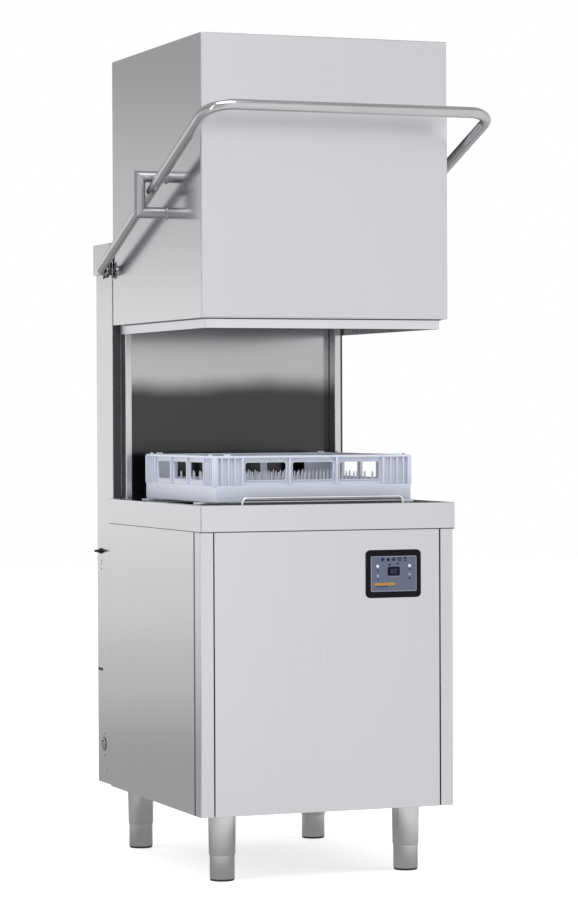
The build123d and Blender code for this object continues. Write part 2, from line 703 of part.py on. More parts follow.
# ---------------------------------------------------------------- control panel
BUTTON_R = 3.6
BUTTON_GAP = 0.3
BUTTON_PLACES = {
    "button_power": (-40.5, 18.0),
    "button_start": (-40.5, -4.5),
    "button_cycle": (40.0, 18.0),
    "button_drain": (40.0, -2.0),
}
with BuildPart() as control_bezel:
    with BuildSketch(Plane.XZ.offset(-BODY_FRONT)):
        with Locations((PANEL_X, PANEL_Z)):
            RectangleRounded(*BEZEL_SIZE, 11)
    extrude(amount=6)
    fillet(control_bezel.faces().sort_by(Axis.Y)[0].edges(), 2.5)
    block(
        (PANEL_X - APERTURE[0] / 2 + 0.2, BODY_FRONT, PANEL_Z - APERTURE[1] / 2 + 0.2),
        (PANEL_X + APERTURE[0] / 2 - 0.2, BODY_FRONT + 10, PANEL_Z + APERTURE[1] / 2 - 0.2),
    )
    block(
        (PANEL_X - FASCIA_SIZE[0] / 2, BODY_FRONT - 10, PANEL_Z - FASCIA_SIZE[1] / 2),
        (PANEL_X + FASCIA_SIZE[0] / 2, FASCIA_Y + 2, PANEL_Z + FASCIA_SIZE[1] / 2),
        mode=Mode.SUBTRACT,
    )
    block(
        (PANEL_X - FASCIA_SIZE[0] / 2 + 4, BODY_FRONT - 10, PANEL_Z - FASCIA_SIZE[1] / 2 + 4),
        (PANEL_X + FASCIA_SIZE[0] / 2 - 4, BODY_FRONT + 11, PANEL_Z + FASCIA_SIZE[1] / 2 - 4),
        mode=Mode.SUBTRACT,
    )
save(control_bezel, "control_bezel")

with BuildPart() as control_fascia:
    block(
        (PANEL_X - FASCIA_SIZE[0] / 2, FASCIA_Y, PANEL_Z - FASCIA_SIZE[1] / 2),
        (PANEL_X + FASCIA_SIZE[0] / 2, FASCIA_Y + 2, PANEL_Z + FASCIA_SIZE[1] / 2),
    )
    for dx, dz in BUTTON_PLACES.values():
        rod(
            (PANEL_X + dx, FASCIA_Y - 1, PANEL_Z + dz),
            (PANEL_X + dx, FASCIA_Y + 3, PANEL_Z + dz),
            BUTTON_R + BUTTON_GAP,
            mode=Mode.SUBTRACT,
        )
save(control_fascia, "control_fascia")

for name, (dx, dz) in BUTTON_PLACES.items():
    x, z = PANEL_X + dx, PANEL_Z + dz
    with BuildPart() as button:
        rod((x, FASCIA_Y - 1.2, z), (x, FASCIA_Y + 5, z), BUTTON_R)
        fillet(button.faces().sort_by(Axis.Y)[0].edges(), 1)
        rod((x, FASCIA_Y + 2.4, z), (x, FASCIA_Y + 4, z), BUTTON_R + 1.6)
    save(button, name)

# ---------------------------------------------------------------- hood
FEED_SLOT_HALF = 32.0
FEED_SLOT_TOP = 1825.0
GUIDE_SLOT = (268.0, 292.0)
with BuildPart() as hood_shell:
    block((-HOOD_HALF, HOOD_FRONT, HOOD_BOTTOM), (HOOD_HALF, HOOD_REAR, HOOD_TOP))
    fillet(hood_shell.edges().filter_by(Axis.Z), 3)
    fillet(hood_shell.faces().sort_by(Axis.Z)[-1].edges(), 2)
    block(
        (-HOOD_HALF + THIN_SHEET, HOOD_FRONT + THIN_SHEET, HOOD_BOTTOM + THIN_SHEET),
        (HOOD_HALF - THIN_SHEET, HOOD_REAR - THIN_SHEET, HOOD_TOP - THIN_SHEET),
        mode=Mode.SUBTRACT,
    )
    # the bottom stays closed only between the outer skin and the liner
    block(
        (-LINER_HALF, LINER_FRONT, HOOD_BOTTOM - 1),
        (LINER_HALF, HOOD_REAR - THIN_SHEET, HOOD_BOTTOM + THIN_SHEET + 1),
        mode=Mode.SUBTRACT,
    )
    for side, _ in SIDES:
        block(
            (side * GUIDE_SLOT[0], HOOD_REAR - 5, HOOD_BOTTOM - 1),
            (side * GUIDE_SLOT[1], HOOD_REAR + 1, LINER_TOP - 5),
            mode=Mode.SUBTRACT,
        )
        block(
            (side * GUIDE_SLOT[0], LINER_REAR, HOOD_BOTTOM - 1),
            (side * GUIDE_SLOT[1], HOOD_REAR + 1, HOOD_BOTTOM + THIN_SHEET + 1),
            mode=Mode.SUBTRACT,
        )
    block(
        (-FEED_SLOT_HALF, HOOD_REAR - 5, HOOD_BOTTOM - 1),
        (FEED_SLOT_HALF, HOOD_REAR + 1, FEED_SLOT_TOP),
        mode=Mode.SUBTRACT,
    )
save(hood_shell, "hood_shell")

panel_half = HOOD_HALF - 0.5
panel_front = HOOD_FRONT - 3
panel_bottom = HOOD_BOTTOM + 2
with BuildPart() as hood_front_panel:
    block(
        (-panel_half, panel_front, panel_bottom),
        (panel_half, HOOD_FRONT - 0.2, HOOD_PANEL_TOP),
    )
    fillet(hood_front_panel.faces().sort_by(Axis.Y)[0].edges(), 1.4)
    block(
        (-panel_half + THIN_SHEET, panel_front + THIN_SHEET, panel_bottom + THIN_SHEET),
        (panel_half - THIN_SHEET, HOOD_FRONT, HOOD_PANEL_TOP - THIN_SHEET),
        mode=Mode.SUBTRACT,
    )
save(hood_front_panel, "hood_front_panel")

with BuildPart() as hood_liner:
    block((-LINER_HALF, LINER_FRONT, LIP_BOTTOM), (LINER_HALF, LINER_REAR, LINER_TOP))
    fillet(upright_edges(hood_liner, y=LINER_FRONT), 3)
    block(
        (-LINER_HALF + THIN_SHEET, LINER_FRONT + THIN_SHEET, LIP_BOTTOM - 1),
        (LINER_HALF - THIN_SHEET, LINER_REAR + 1, LINER_TOP - THIN_SHEET),
        mode=Mode.SUBTRACT,
    )
    block(
        (-LINER_HALF, LINER_REAR, LINER_TOP - THIN_SHEET),
        (LINER_HALF, HOOD_REAR - THIN_SHEET, LINER_TOP),
    )
save(hood_liner, "hood_liner")

with BuildPart() as hood_brackets:
    rise = BRACKET_GAP / 2 + BAR_R
    reach = BRACKET_OUTER - BAR_R
    for side, _ in SIDES:
        with BuildLine() as loop:
            Polyline(
                (side * HOOD_HALF, BRACKET_Y, BRACKET_Z + rise),
                (side * reach, BRACKET_Y, BRACKET_Z + rise),
                (side * reach, BRACKET_Y, BRACKET_Z - rise),
                (side * HOOD_HALF, BRACKET_Y, BRACKET_Z - rise),
            )
        with BuildSketch(Plane(origin=loop.line @ 0, z_dir=loop.line % 0)) as loop_section:
            Circle(BAR_R)
        sweep(loop_section.sketch, path=loop.line, transition=Transition.RIGHT)
save(hood_brackets, "hood_brackets")

CARRIAGE_X = 258.0
CARRIAGE_Z = (1305.0, 1480.0)
PAD_CLEARANCE = 0.4
with BuildPart() as hood_carriages:
    for side, _ in SIDES:
        block(
            (side * (CARRIAGE_X - 2), 300, CARRIAGE_Z[0]),
            (side * CARRIAGE_X, HOOD_REAR - THIN_SHEET, CARRIAGE_Z[1]),
        )
        block(
            (side * (CARRIAGE_X - 32), HOOD_REAR - THIN_SHEET - 2, CARRIAGE_Z[0]),
            (side * CARRIAGE_X, HOOD_REAR - THIN_SHEET, CARRIAGE_Z[1]),
        )
save(hood_carriages, "hood_carriages")

with BuildPart() as slide_blocks:
    for side, _ in SIDES:
        for bottom in (1312.0, 1432.0):
            block(
                (side * CARRIAGE_X, 306, bottom),
                (side * (GUIDE_INNER - PAD_CLEARANCE), 346, bottom + 40),
            )
            block(
                (side * (GUIDE_INNER - PAD_CLEARANCE), 306, bottom),
                (side * (GUIDE_OUTER - 2), GUIDE_FRONT - PAD_CLEARANCE, bottom + 40),
            )
save(slide_blocks, "slide_blocks")

# ---------------------------------------------------------------- handle
END_BEND = 18.0
FRONT_BEND = 60.0
CLIP_X = 321.0
PLUG_END = 323.5
PLUG_R = TUBE_BORE_R + 0.3
with BuildPart() as handle_tube:
    with BuildLine() as handle_line:
        FilletPolyline(
            (LEG_END, PIVOT_Y, PIVOT_Z),
            (PIVOT_ARM_X, PIVOT_Y, PIVOT_Z),
            (BAR_ARM_X, BAR_Y, BAR_Z),
            (-BAR_ARM_X, BAR_Y, BAR_Z),
            (-PIVOT_ARM_X, PIVOT_Y, PIVOT_Z),
            (-LEG_END, PIVOT_Y, PIVOT_Z),
            radius=[END_BEND, FRONT_BEND, FRONT_BEND, END_BEND],
        )
    tube_start = Plane(origin=handle_line.line @ 0, z_dir=handle_line.line % 0)
    with BuildSketch(tube_start) as tube_section:
        Circle(TUBE_R)
        Circle(TUBE_BORE_R, mode=Mode.SUBTRACT)
    sweep(tube_section.sketch, path=handle_line.line)
    for side, _ in SIDES:
        rod((side * LEG_END, PIVOT_Y, PIVOT_Z), (side * PLUG_END, PIVOT_Y, PIVOT_Z), PLUG_R)
        rod((side * 224, PIVOT_Y, PIVOT_Z), (side * LEG_END, PIVOT_Y, PIVOT_Z), JOURNAL_R)
        rod(
            (side * CLIP_X, PIVOT_Y, PIVOT_Z - 20),
            (side * CLIP_X, PIVOT_Y, PIVOT_Z + 20),
            1.8,
            mode=Mode.SUBTRACT,
        )
save(handle_tube, "handle_tube")

with BuildPart() as retaining_clips:
    for side, _ in SIDES:
        rod(
            (side * CLIP_X, PIVOT_Y, PIVOT_Z - 19), (side * CLIP_X, PIVOT_Y, PIVOT_Z + 19), 1.5
        )
        with Locations(Plane((side * CLIP_X, PIVOT_Y, PIVOT_Z + 22), z_dir=(1, 0, 0)).location):
            Torus(4, 1.5)
save(retaining_clips, "retaining_clips")

with BuildPart() as handle_bushes:
    for side, _ in SIDES:
        collar_x = side * (CAP_HALF + 0.2)
        rod((side * (COLUMN_OUTER - 4), PIVOT_Y, PIVOT_Z), (collar_x, PIVOT_Y, PIVOT_Z), BUSH_R)
        rod((collar_x, PIVOT_Y, PIVOT_Z), (side * 316, PIVOT_Y, PIVOT_Z), 17)
        block(
            (side * (COLUMN_INNER + SHEET), COLUMN_FRONT + SHEET, PIVOT_Z - 15),
            (side * 222, PIVOT_Y + 15, PIVOT_Z + 15),
        )
        rod(
            (side * 200, PIVOT_Y, PIVOT_Z), (side * 320, PIVOT_Y, PIVOT_Z),
            JOURNAL_R + RUN_CLEARANCE,
            mode=Mode.SUBTRACT,
        )
save(handle_bushes, "handle_bushes")

LEVER_X = (255.0, 263.0)
LEVER_LONG = 90.0
LEVER_ANGLE = -40.0  # below the horizontal, towards the back, with the hood up
eye_y = PIVOT_Y + LEVER_LONG * cos(radians(LEVER_ANGLE))
eye_z = PIVOT_Z + LEVER_LONG * sin(radians(LEVER_ANGLE))
lever_y = (PIVOT_Y + eye_y) / 2
lever_z = (PIVOT_Z + eye_z) / 2
with BuildPart() as handle_levers:
    for side, _ in SIDES:
        with BuildSketch(Plane.YZ.offset(side * LEVER_X[0])):
            with Locations((lever_y, lever_z)):
                SlotCenterToCenter(LEVER_LONG, 22, rotation=LEVER_ANGLE)
        extrude(amount=side * (LEVER_X[1] - LEVER_X[0]))
        for y, z, hole in ((PIVOT_Y, PIVOT_Z, JOURNAL_R), (eye_y, eye_z, 4)):
            rod((side * 250, y, z), (side * 270, y, z), hole, mode=Mode.SUBTRACT)
save(handle_levers, "handle_levers")

# ---------------------------------------------------------------- counterbalance springs
SPRING_X = 259.0
SPRING_R = 14.0
WIRE_PITCH = 8.0
COIL_COUNT = 60
SPRING_LOW = 730.0
ANCHOR_TOP = 722.0
spring_high = SPRING_LOW + COIL_COUNT * WIRE_PITCH
with BuildPart() as counter_springs:
    for side, _ in SIDES:
        axis = Plane(origin=(side * SPRING_X, eye_y, 0), x_dir=(1, 0, 0), z_dir=(0, -1, 0))
        with BuildSketch(axis) as coil_section:
            with BuildLine():
                inner = SPRING_R - 4
                Polyline(
                    (SPRING_R, SPRING_LOW),
                    (inner, SPRING_LOW),
                    (inner, spring_high),
                    (SPRING_R, spring_high),
                )
                for coil in range(COIL_COUNT):
                    z = SPRING_LOW + coil * WIRE_PITCH
                    ThreePointArc(
                        (SPRING_R, z),
                        (SPRING_R + 2, z + WIRE_PITCH / 2),
                        (SPRING_R, z + WIRE_PITCH),
                    )
            make_face()
        revolve(coil_section.sketch, axis=Axis((side * SPRING_X, eye_y, 0), (0, 0, 1)))
        rod((side * SPRING_X, eye_y, ANCHOR_TOP), (side * SPRING_X, eye_y, SPRING_LOW + 6), 11)
        rod((side * SPRING_X, eye_y, spring_high - 6), (side * SPRING_X, eye_y, spring_high + 5), 11)
        pipe(
            [
                (side * SPRING_X, eye_y, spring_high),
                (side * SPRING_X, eye_y, 1325),
                (side * 250, eye_y, 1345),
                (side * 250, eye_y, eye_z),
                (side * 268, eye_y, eye_z),
            ],
            [6, 6, 4],
            2,
        )
save(counter_springs, "counter_springs")

with BuildPart() as spring_anchors:
    for side, _ in SIDES:
        block(
            (side * (SPRING_X - 16), eye_y - 16, 700),
            (side * (SPRING_X + 16), COLUMN_REAR - SHEET, 706),
        )
        rod((side * SPRING_X, eye_y, 690), (side * SPRING_X, eye_y, ANCHOR_TOP), 5)
save(spring_anchors, "spring_anchors")

# ---------------------------------------------------------------- dish rack
BAND_TOP = 914.0
WINDOW = (102.0, 42.0)
WINDOW_Z = 947.0
WINDOW_PITCH = 118.0
GRID_PITCH = 48.0
with BuildPart() as dish_rack:
    # lower band
    with BuildSketch(Plane.XY.offset(RACK_BOTTOM)):
        with Locations((0, RACK_Y)):
            RectangleRounded(2 * RACK_HALF, 2 * RACK_HALF, RACK_CORNER)
            RectangleRounded(
                2 * RACK_HALF - 8, 2 * RACK_HALF - 8, RACK_CORNER - 4, mode=Mode.SUBTRACT
            )
    extrude(amount=BAND_TOP - RACK_BOTTOM)
    # upper wall, set back from the band
    with BuildSketch(Plane.XY.offset(BAND_TOP - 2)):
        with Locations((0, RACK_Y)):
            RectangleRounded(2 * RACK_HALF - 8, 2 * RACK_HALF - 8, RACK_CORNER - 4)
            RectangleRounded(
                2 * RACK_HALF - 15, 2 * RACK_HALF - 15, RACK_CORNER - 7.5, mode=Mode.SUBTRACT
            )
    extrude(amount=RACK_TOP - 3 - BAND_TOP)
    # rims
    for bottom, top in ((BAND_TOP - 3, BAND_TOP), (RACK_TOP - 7, RACK_TOP - 3)):
        with BuildSketch(Plane.XY.offset(bottom)):
            with Locations((0, RACK_Y)):
                RectangleRounded(2 * RACK_HALF, 2 * RACK_HALF, RACK_CORNER)
                RectangleRounded(
                    2 * RACK_HALF - 15, 2 * RACK_HALF - 15, RACK_CORNER - 7.5, mode=Mode.SUBTRACT
                )
        extrude(amount=top - bottom)
    # windows, three on each side
    for place in (-1, 0, 1):
        block(
            (place * WINDOW_PITCH - WINDOW[0] / 2, RACK_Y - 260, WINDOW_Z - WINDOW[1] / 2),
            (place * WINDOW_PITCH + WINDOW[0] / 2, RACK_Y + 260, WINDOW_Z + WINDOW[1] / 2),
            mode=Mode.SUBTRACT,
        )
        block(
            (-260, RACK_Y + place * WINDOW_PITCH - WINDOW[0] / 2, WINDOW_Z - WINDOW[1] / 2),
            (260, RACK_Y + place * WINDOW_PITCH + WINDOW[0] / 2, WINDOW_Z + WINDOW[1] / 2),
            mode=Mode.SUBTRACT,
        )
    # upright ribs between the windows
    for place in (-1.5, -0.5, 0.5, 1.5):
        middle = place * WINDOW_PITCH
        for end in (-1, 1):
            block(
                (middle - 1.5, RACK_Y + end * (RACK_HALF - 5), BAND_TOP - 1),
                (middle + 1.5, RACK_Y + end * (RACK_HALF - 0.5), RACK_TOP - 4),
            )
            block(
                (end * (RACK_HALF - 5), RACK_Y + middle - 1.5, BAND_TOP - 1),
                (end * (RACK_HALF - 0.5), RACK_Y + middle + 1.5, RACK_TOP - 4),
            )
    # floor grid
    for bar in range(-5, 6):
        offset_bar = bar * GRID_PITCH
        block(
            (offset_bar - 2, RACK_Y - RACK_HALF + 2, RACK_BOTTOM),
            (offset_bar + 2, RACK_Y + RACK_HALF - 2, RACK_BOTTOM + 6),
        )
        block(
            (-RACK_HALF + 2, RACK_Y + offset_bar - 2, RACK_BOTTOM),
            (RACK_HALF - 2, RACK_Y + offset_bar + 2, RACK_BOTTOM + 6),
        )
    # low lugs at the corners that locate a rack stacked on top
    for side, _ in SIDES:
        for end in (-1, 1):
            block(
                (side * 205, RACK_Y + end * 246, RACK_TOP - 4),
                (side * 222, RACK_Y + end * 242, RACK_TOP),
            )
            block(
                (side * 246, RACK_Y + end * 205, RACK_TOP - 4),
                (side * 242, RACK_Y + end * 222, RACK_TOP),
            )
save(dish_rack, "dish_rack")

# ---------------------------------------------------------------- fasteners
STUD_Y, STUD_Z = 451.0, 739.0
with BuildPart() as bonding_stud:
    rod((-COLUMN_OUTER, STUD_Y, STUD_Z), (-COLUMN_OUTER - 2, STUD_Y, STUD_Z), 7)
    with BuildSketch(Plane.YZ.offset(-COLUMN_OUTER - 2)):
        with Locations((STUD_Y, STUD_Z)):
            RegularPolygon(6, 6)
    extrude(amount=-6)
    rod((-COLUMN_OUTER, STUD_Y, STUD_Z), (-COLUMN_OUTER - 18, STUD_Y, STUD_Z), 3)
save(bonding_stud, "bonding_stud")

SCREW_R = 3.5
SCREW_HEAD = 1.6
COVER_SCREWS = [
    (side * 198, COVER_Y + SHEET, z) for side, _ in SIDES for z in (230, 530, 830, 1130, 1400)
]
CLIP_PLATE_SCREWS = [(-COLUMN_OUTER, 436, z) for z in (229, 283)]
COLUMN_SCREWS = [
    (side * COLUMN_OUTER, y, z)
    for side, _ in SIDES
    for y, z in ((452, 442), (470, 442), (420, 192))
]
with BuildPart() as panel_screws:
    for x, y, z in COVER_SCREWS:
        rod((x, y, z), (x, y + SCREW_HEAD, z), SCREW_R)
    for x, y, z in CLIP_PLATE_SCREWS + COLUMN_SCREWS:
        outward = SCREW_HEAD if x > 0 else -SCREW_HEAD
        rod((x, y, z), (x + outward, y, z), SCREW_R)
save(panel_screws, "panel_screws")

# ---------------------------------------------------------------- travel of the hood and handle
HOOD_TRAVEL = 424.0
HANDLE_SWING = 54.3
arm_rise = degrees(atan2(BAR_Z - PIVOT_Z, PIVOT_Y - BAR_Y))
print(f"hood closed top {HOOD_TOP - HOOD_TRAVEL:.1f}, lip {LIP_BOTTOM - HOOD_TRAVEL:.1f}")
print(f"handle arm rises {arm_rise:.2f} degrees, swings {HANDLE_SWING:.1f}")
print(f"handle tube {handle_tube.part.volume / 1000:.0f} cm3")
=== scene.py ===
"""Looks of the hood-type dishwasher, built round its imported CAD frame. Metres, +Z up, -Y is the front."""

import json
from math import cos, pi, radians, sin, tan

import bmesh
import bpy
from mathutils import Matrix, Vector

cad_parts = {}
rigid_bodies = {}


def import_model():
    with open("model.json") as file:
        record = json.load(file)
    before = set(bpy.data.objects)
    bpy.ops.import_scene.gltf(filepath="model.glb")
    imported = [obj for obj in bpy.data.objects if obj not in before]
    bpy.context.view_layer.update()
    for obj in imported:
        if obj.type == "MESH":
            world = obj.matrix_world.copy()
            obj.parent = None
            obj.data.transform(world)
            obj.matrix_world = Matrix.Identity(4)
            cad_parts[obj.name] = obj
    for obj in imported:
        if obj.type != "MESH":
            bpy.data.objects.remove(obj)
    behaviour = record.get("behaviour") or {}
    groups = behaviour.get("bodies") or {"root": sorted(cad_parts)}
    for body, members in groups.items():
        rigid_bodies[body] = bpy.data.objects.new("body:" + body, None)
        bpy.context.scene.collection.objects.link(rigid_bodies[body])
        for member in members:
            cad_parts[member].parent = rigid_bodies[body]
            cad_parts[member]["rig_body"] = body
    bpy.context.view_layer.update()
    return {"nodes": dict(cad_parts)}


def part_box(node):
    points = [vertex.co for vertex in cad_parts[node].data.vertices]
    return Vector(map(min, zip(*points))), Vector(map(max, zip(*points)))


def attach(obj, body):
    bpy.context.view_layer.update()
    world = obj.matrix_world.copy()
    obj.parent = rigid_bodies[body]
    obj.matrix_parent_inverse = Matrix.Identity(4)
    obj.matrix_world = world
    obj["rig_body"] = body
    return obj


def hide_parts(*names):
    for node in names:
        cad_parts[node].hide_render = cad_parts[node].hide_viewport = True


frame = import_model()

MM = 0.001
nodes = frame["nodes"]


# ---------------------------------------------------------------- material helpers
class Look:
    """A material and its node tree, with one short call for each node that the finishes use."""

    def __init__(self, name, colour, metallic=0.0, roughness=0.5, **sockets):
        self.material = bpy.data.materials.new(name)
        self.material.use_nodes = True
        self.tree = self.material.node_tree
        self.shader = self.tree.nodes["Principled BSDF"]
        self.shader.inputs["Base Color"].default_value = (*colour, 1)
        self.shader.inputs["Metallic"].default_value = metallic
        self.shader.inputs["Roughness"].default_value = roughness
        for socket, value in sockets.items():
            self.shader.inputs[socket.replace("_", " ")].default_value = value
        self.place = self.tree.nodes.new("ShaderNodeTexCoord")

    def link(self, output, target):
        self.tree.links.new(output, target)

    def node(self, kind, **settings):
        made = self.tree.nodes.new(kind)
        for key, value in settings.items():
            setattr(made, key, value)
        return made

    def noise(self, stretch, detail=3.0, place=None):
        """Noise with so many features per metre along X, Y and Z."""
        mapping = self.node("ShaderNodeMapping")
        mapping.inputs["Scale"].default_value = stretch
        self.link(place or self.place.outputs["Object"], mapping.inputs["Vector"])
        texture = self.node("ShaderNodeTexNoise")
        texture.inputs["Scale"].default_value = 1.0
        texture.inputs["Detail"].default_value = detail
        self.link(mapping.outputs["Vector"], texture.inputs["Vector"])
        return texture.outputs["Fac"]

    def spread(self, value, low, high, start=0.3, end=0.7):
        """Map a noise value from its usual range to another."""
        remap = self.node("ShaderNodeMapRange")
        for socket, number in (("From Min", start), ("From Max", end), ("To Min", low), ("To Max", high)):
            remap.inputs[socket].default_value = number
        self.link(value, remap.inputs["Value"])
        return remap.outputs["Result"]

    def smooth(self, value, low, high, start, end):
        """Map a value with a smooth step between two ends."""
        remap = self.spread(value, low, high, start, end)
        remap.node.interpolation_type = "SMOOTHSTEP"
        return remap

    def tint(self, value, dark, light):
        """Mix two close colours by a noise value."""
        ramp = self.node("ShaderNodeValToRGB")
        ramp.color_ramp.elements[0].position = 0.3
        ramp.color_ramp.elements[1].position = 0.7
        ramp.color_ramp.elements[0].color = (*dark, 1)
        ramp.color_ramp.elements[1].color = (*light, 1)
        self.link(value, ramp.inputs["Fac"])
        return ramp.outputs["Color"]

    def add(self, first, second):
        total = self.node("ShaderNodeMath", operation="ADD")
        self.link(first, total.inputs[0])
        self.link(second, total.inputs[1])
        return total.outputs["Value"]

    def colour(self, output):
        self.link(output, self.shader.inputs["Base Color"])

    def roughness(self, output):
        self.link(output, self.shader.inputs["Roughness"])

    def bump(self, height, depth, strength=1.0):
        """Bump of so many metres of depth."""
        bump = self.node("ShaderNodeBump")
        bump.inputs["Strength"].default_value = strength
        bump.inputs["Distance"].default_value = depth
        self.link(height, bump.inputs["Height"])
        self.link(bump.outputs["Normal"], self.shader.inputs["Normal"])


def shade(colour, factor):
    return tuple(channel * factor for channel in colour)


# ---------------------------------------------------------------- finishes
GRAIN_ACROSS, GRAIN_ALONG = 1900.0, 11.0  # features per metre
STREAK_ACROSS, STREAK_ALONG = 170.0, 1.4
SHEET_CLOUDS = (3.1, 3.1, 2.3)
SHEET_UNEVEN = 0.015  # of roughness, by its clouds
LEVEL_ABOVE = 0.7  # upright part of the normal from which a face counts as level
PAINTED_REFLECTION_KEEPS = 0.13  # share of its colour that the sheet keeps at the darkest of its painted dark reflection
PAINTED_REFLECTION_FADE = (0.045, 0.02)  # metres below and above the line where the painted dark reflection fades in


def sheet_steel(name, colour, roughness, level_grain=False, painted_reflection_below=None):
    """Fine brushed sheet. The grain stands upright on upright faces and runs along X on level ones.

    Below a given height a dark reflection of the chamber is painted into the colour, fading in softly; it is
    not the sheet's own colour.
    """
    look = Look(name, colour, 1.0, roughness, Anisotropic=0.35)
    normal = look.node("ShaderNodeSeparateXYZ")
    look.link(look.place.outputs["Normal"], normal.inputs["Vector"])
    steep = look.node("ShaderNodeMath", operation="ABSOLUTE")
    look.link(normal.outputs["Z"], steep.inputs[0])
    level = look.node("ShaderNodeMath", operation="GREATER_THAN")
    level.inputs[1].default_value = -1.0 if level_grain else LEVEL_ABOVE
    look.link(steep.outputs["Value"], level.inputs[0])

    def pick(upright, flat, kind="FLOAT"):
        mix = look.node("ShaderNodeMix", data_type=kind)
        sockets = {"FLOAT": (2, 3, 0), "VECTOR": (4, 5, 1)}[kind]
        look.link(level.outputs["Value"], mix.inputs[0])
        look.link(upright, mix.inputs[sockets[0]])
        look.link(flat, mix.inputs[sockets[1]])
        return mix.outputs[sockets[2]]

    grain = pick(
        look.noise((GRAIN_ACROSS, GRAIN_ACROSS, GRAIN_ALONG), 3),
        look.noise((GRAIN_ALONG, GRAIN_ACROSS, GRAIN_ACROSS), 3),
    )
    streaks = pick(
        look.noise((STREAK_ACROSS, STREAK_ACROSS, STREAK_ALONG), 4),
        look.noise((STREAK_ALONG, STREAK_ACROSS, STREAK_ACROSS), 4),
    )
    clouds = look.noise(SHEET_CLOUDS, 4)
    tone = look.tint(look.add(look.spread(streaks, 0.15, 0.5), look.spread(clouds, 0.15, 0.5)),
                     shade(colour, 0.985), shade(colour, 1.01))
    # painted reflection: below the given height the colour is scaled towards the dark that the chamber would
    # reflect
    if painted_reflection_below:
        height = look.node("ShaderNodeSeparateXYZ")
        look.link(look.place.outputs["Object"], height.inputs["Vector"])
        uneven = look.add(height.outputs["Z"], look.spread(clouds, -0.012, 0.012))
        painted_reflection_kept = look.smooth(uneven, PAINTED_REFLECTION_KEEPS, 1.0, painted_reflection_below - PAINTED_REFLECTION_FADE[0], painted_reflection_below + PAINTED_REFLECTION_FADE[1])
        painted_reflection_dimmed = look.node("ShaderNodeVectorMath", operation="SCALE")
        look.link(tone, painted_reflection_dimmed.inputs[0])
        look.link(painted_reflection_kept, painted_reflection_dimmed.inputs["Scale"])
        tone = painted_reflection_dimmed.outputs["Vector"]
    look.colour(tone)
    look.roughness(look.add(
        look.spread(streaks, -0.008, 0.008),
        look.spread(clouds, roughness - SHEET_UNEVEN, roughness + SHEET_UNEVEN),
    ))
    look.bump(grain, 0.00001, 0.25)
    round_z = look.node("ShaderNodeTangent", direction_type="RADIAL", axis="Z")
    round_x = look.node("ShaderNodeTangent", direction_type="RADIAL", axis="X")
    tangent = pick(round_z.outputs["Tangent"], round_x.outputs["Tangent"], "VECTOR")
    look.link(tangent, look.shader.inputs["Tangent"])
    return look.material


def satin_steel(name, colour, roughness):
    """Bright ground tube or bar, with fine marks and faint clouding."""
    look = Look(name, colour, 1.0, roughness)
    marks = look.noise((700, 700, 700), 3)
    clouds = look.noise((9, 9, 9), 4)
    look.colour(look.tint(clouds, shade(colour, 0.95), shade(colour, 1.03)))
    look.roughness(look.add(
        look.spread(marks, -0.02, 0.02), look.spread(clouds, roughness - 0.03, roughness + 0.04)
    ))
    look.bump(marks, 0.00002, 0.35)
    return look.material


def moulded(name, colour, roughness, pebble=900.0, depth=0.00003, specks=0.03, **sockets):
    """Moulded plastic or rubber: a fine pebbled skin, slightly uneven colour and sheen."""
    look = Look(name, colour, 0.0, roughness, **sockets)
    skin = look.noise((pebble, pebble, pebble), 2)
    clouds = look.noise((14, 14, 14), 4)
    look.colour(look.tint(look.add(look.spread(skin, 0.2, 0.4), look.spread(clouds, 0.1, 0.3)),
                          shade(colour, 1 - specks), shade(colour, 1 + specks)))
    look.roughness(look.spread(clouds, roughness - 0.05, roughness + 0.06))
    look.bump(skin, depth, 0.6)
    return look.material


def glowing(name, colour, strength):
    """A lit cap or figure: milky plastic with a light behind it."""
    look = Look(name, colour, 0.0, 0.25, Coat_Weight=0.4)
    look.shader.inputs["Emission Strength"].default_value = strength
    grain = look.noise((400, 400, 400), 3)
    look.link(look.tint(grain, shade(colour, 0.9), colour), look.shader.inputs["Emission Color"])
    look.colour(look.tint(grain, shade(colour, 0.85), colour))
    return look.material


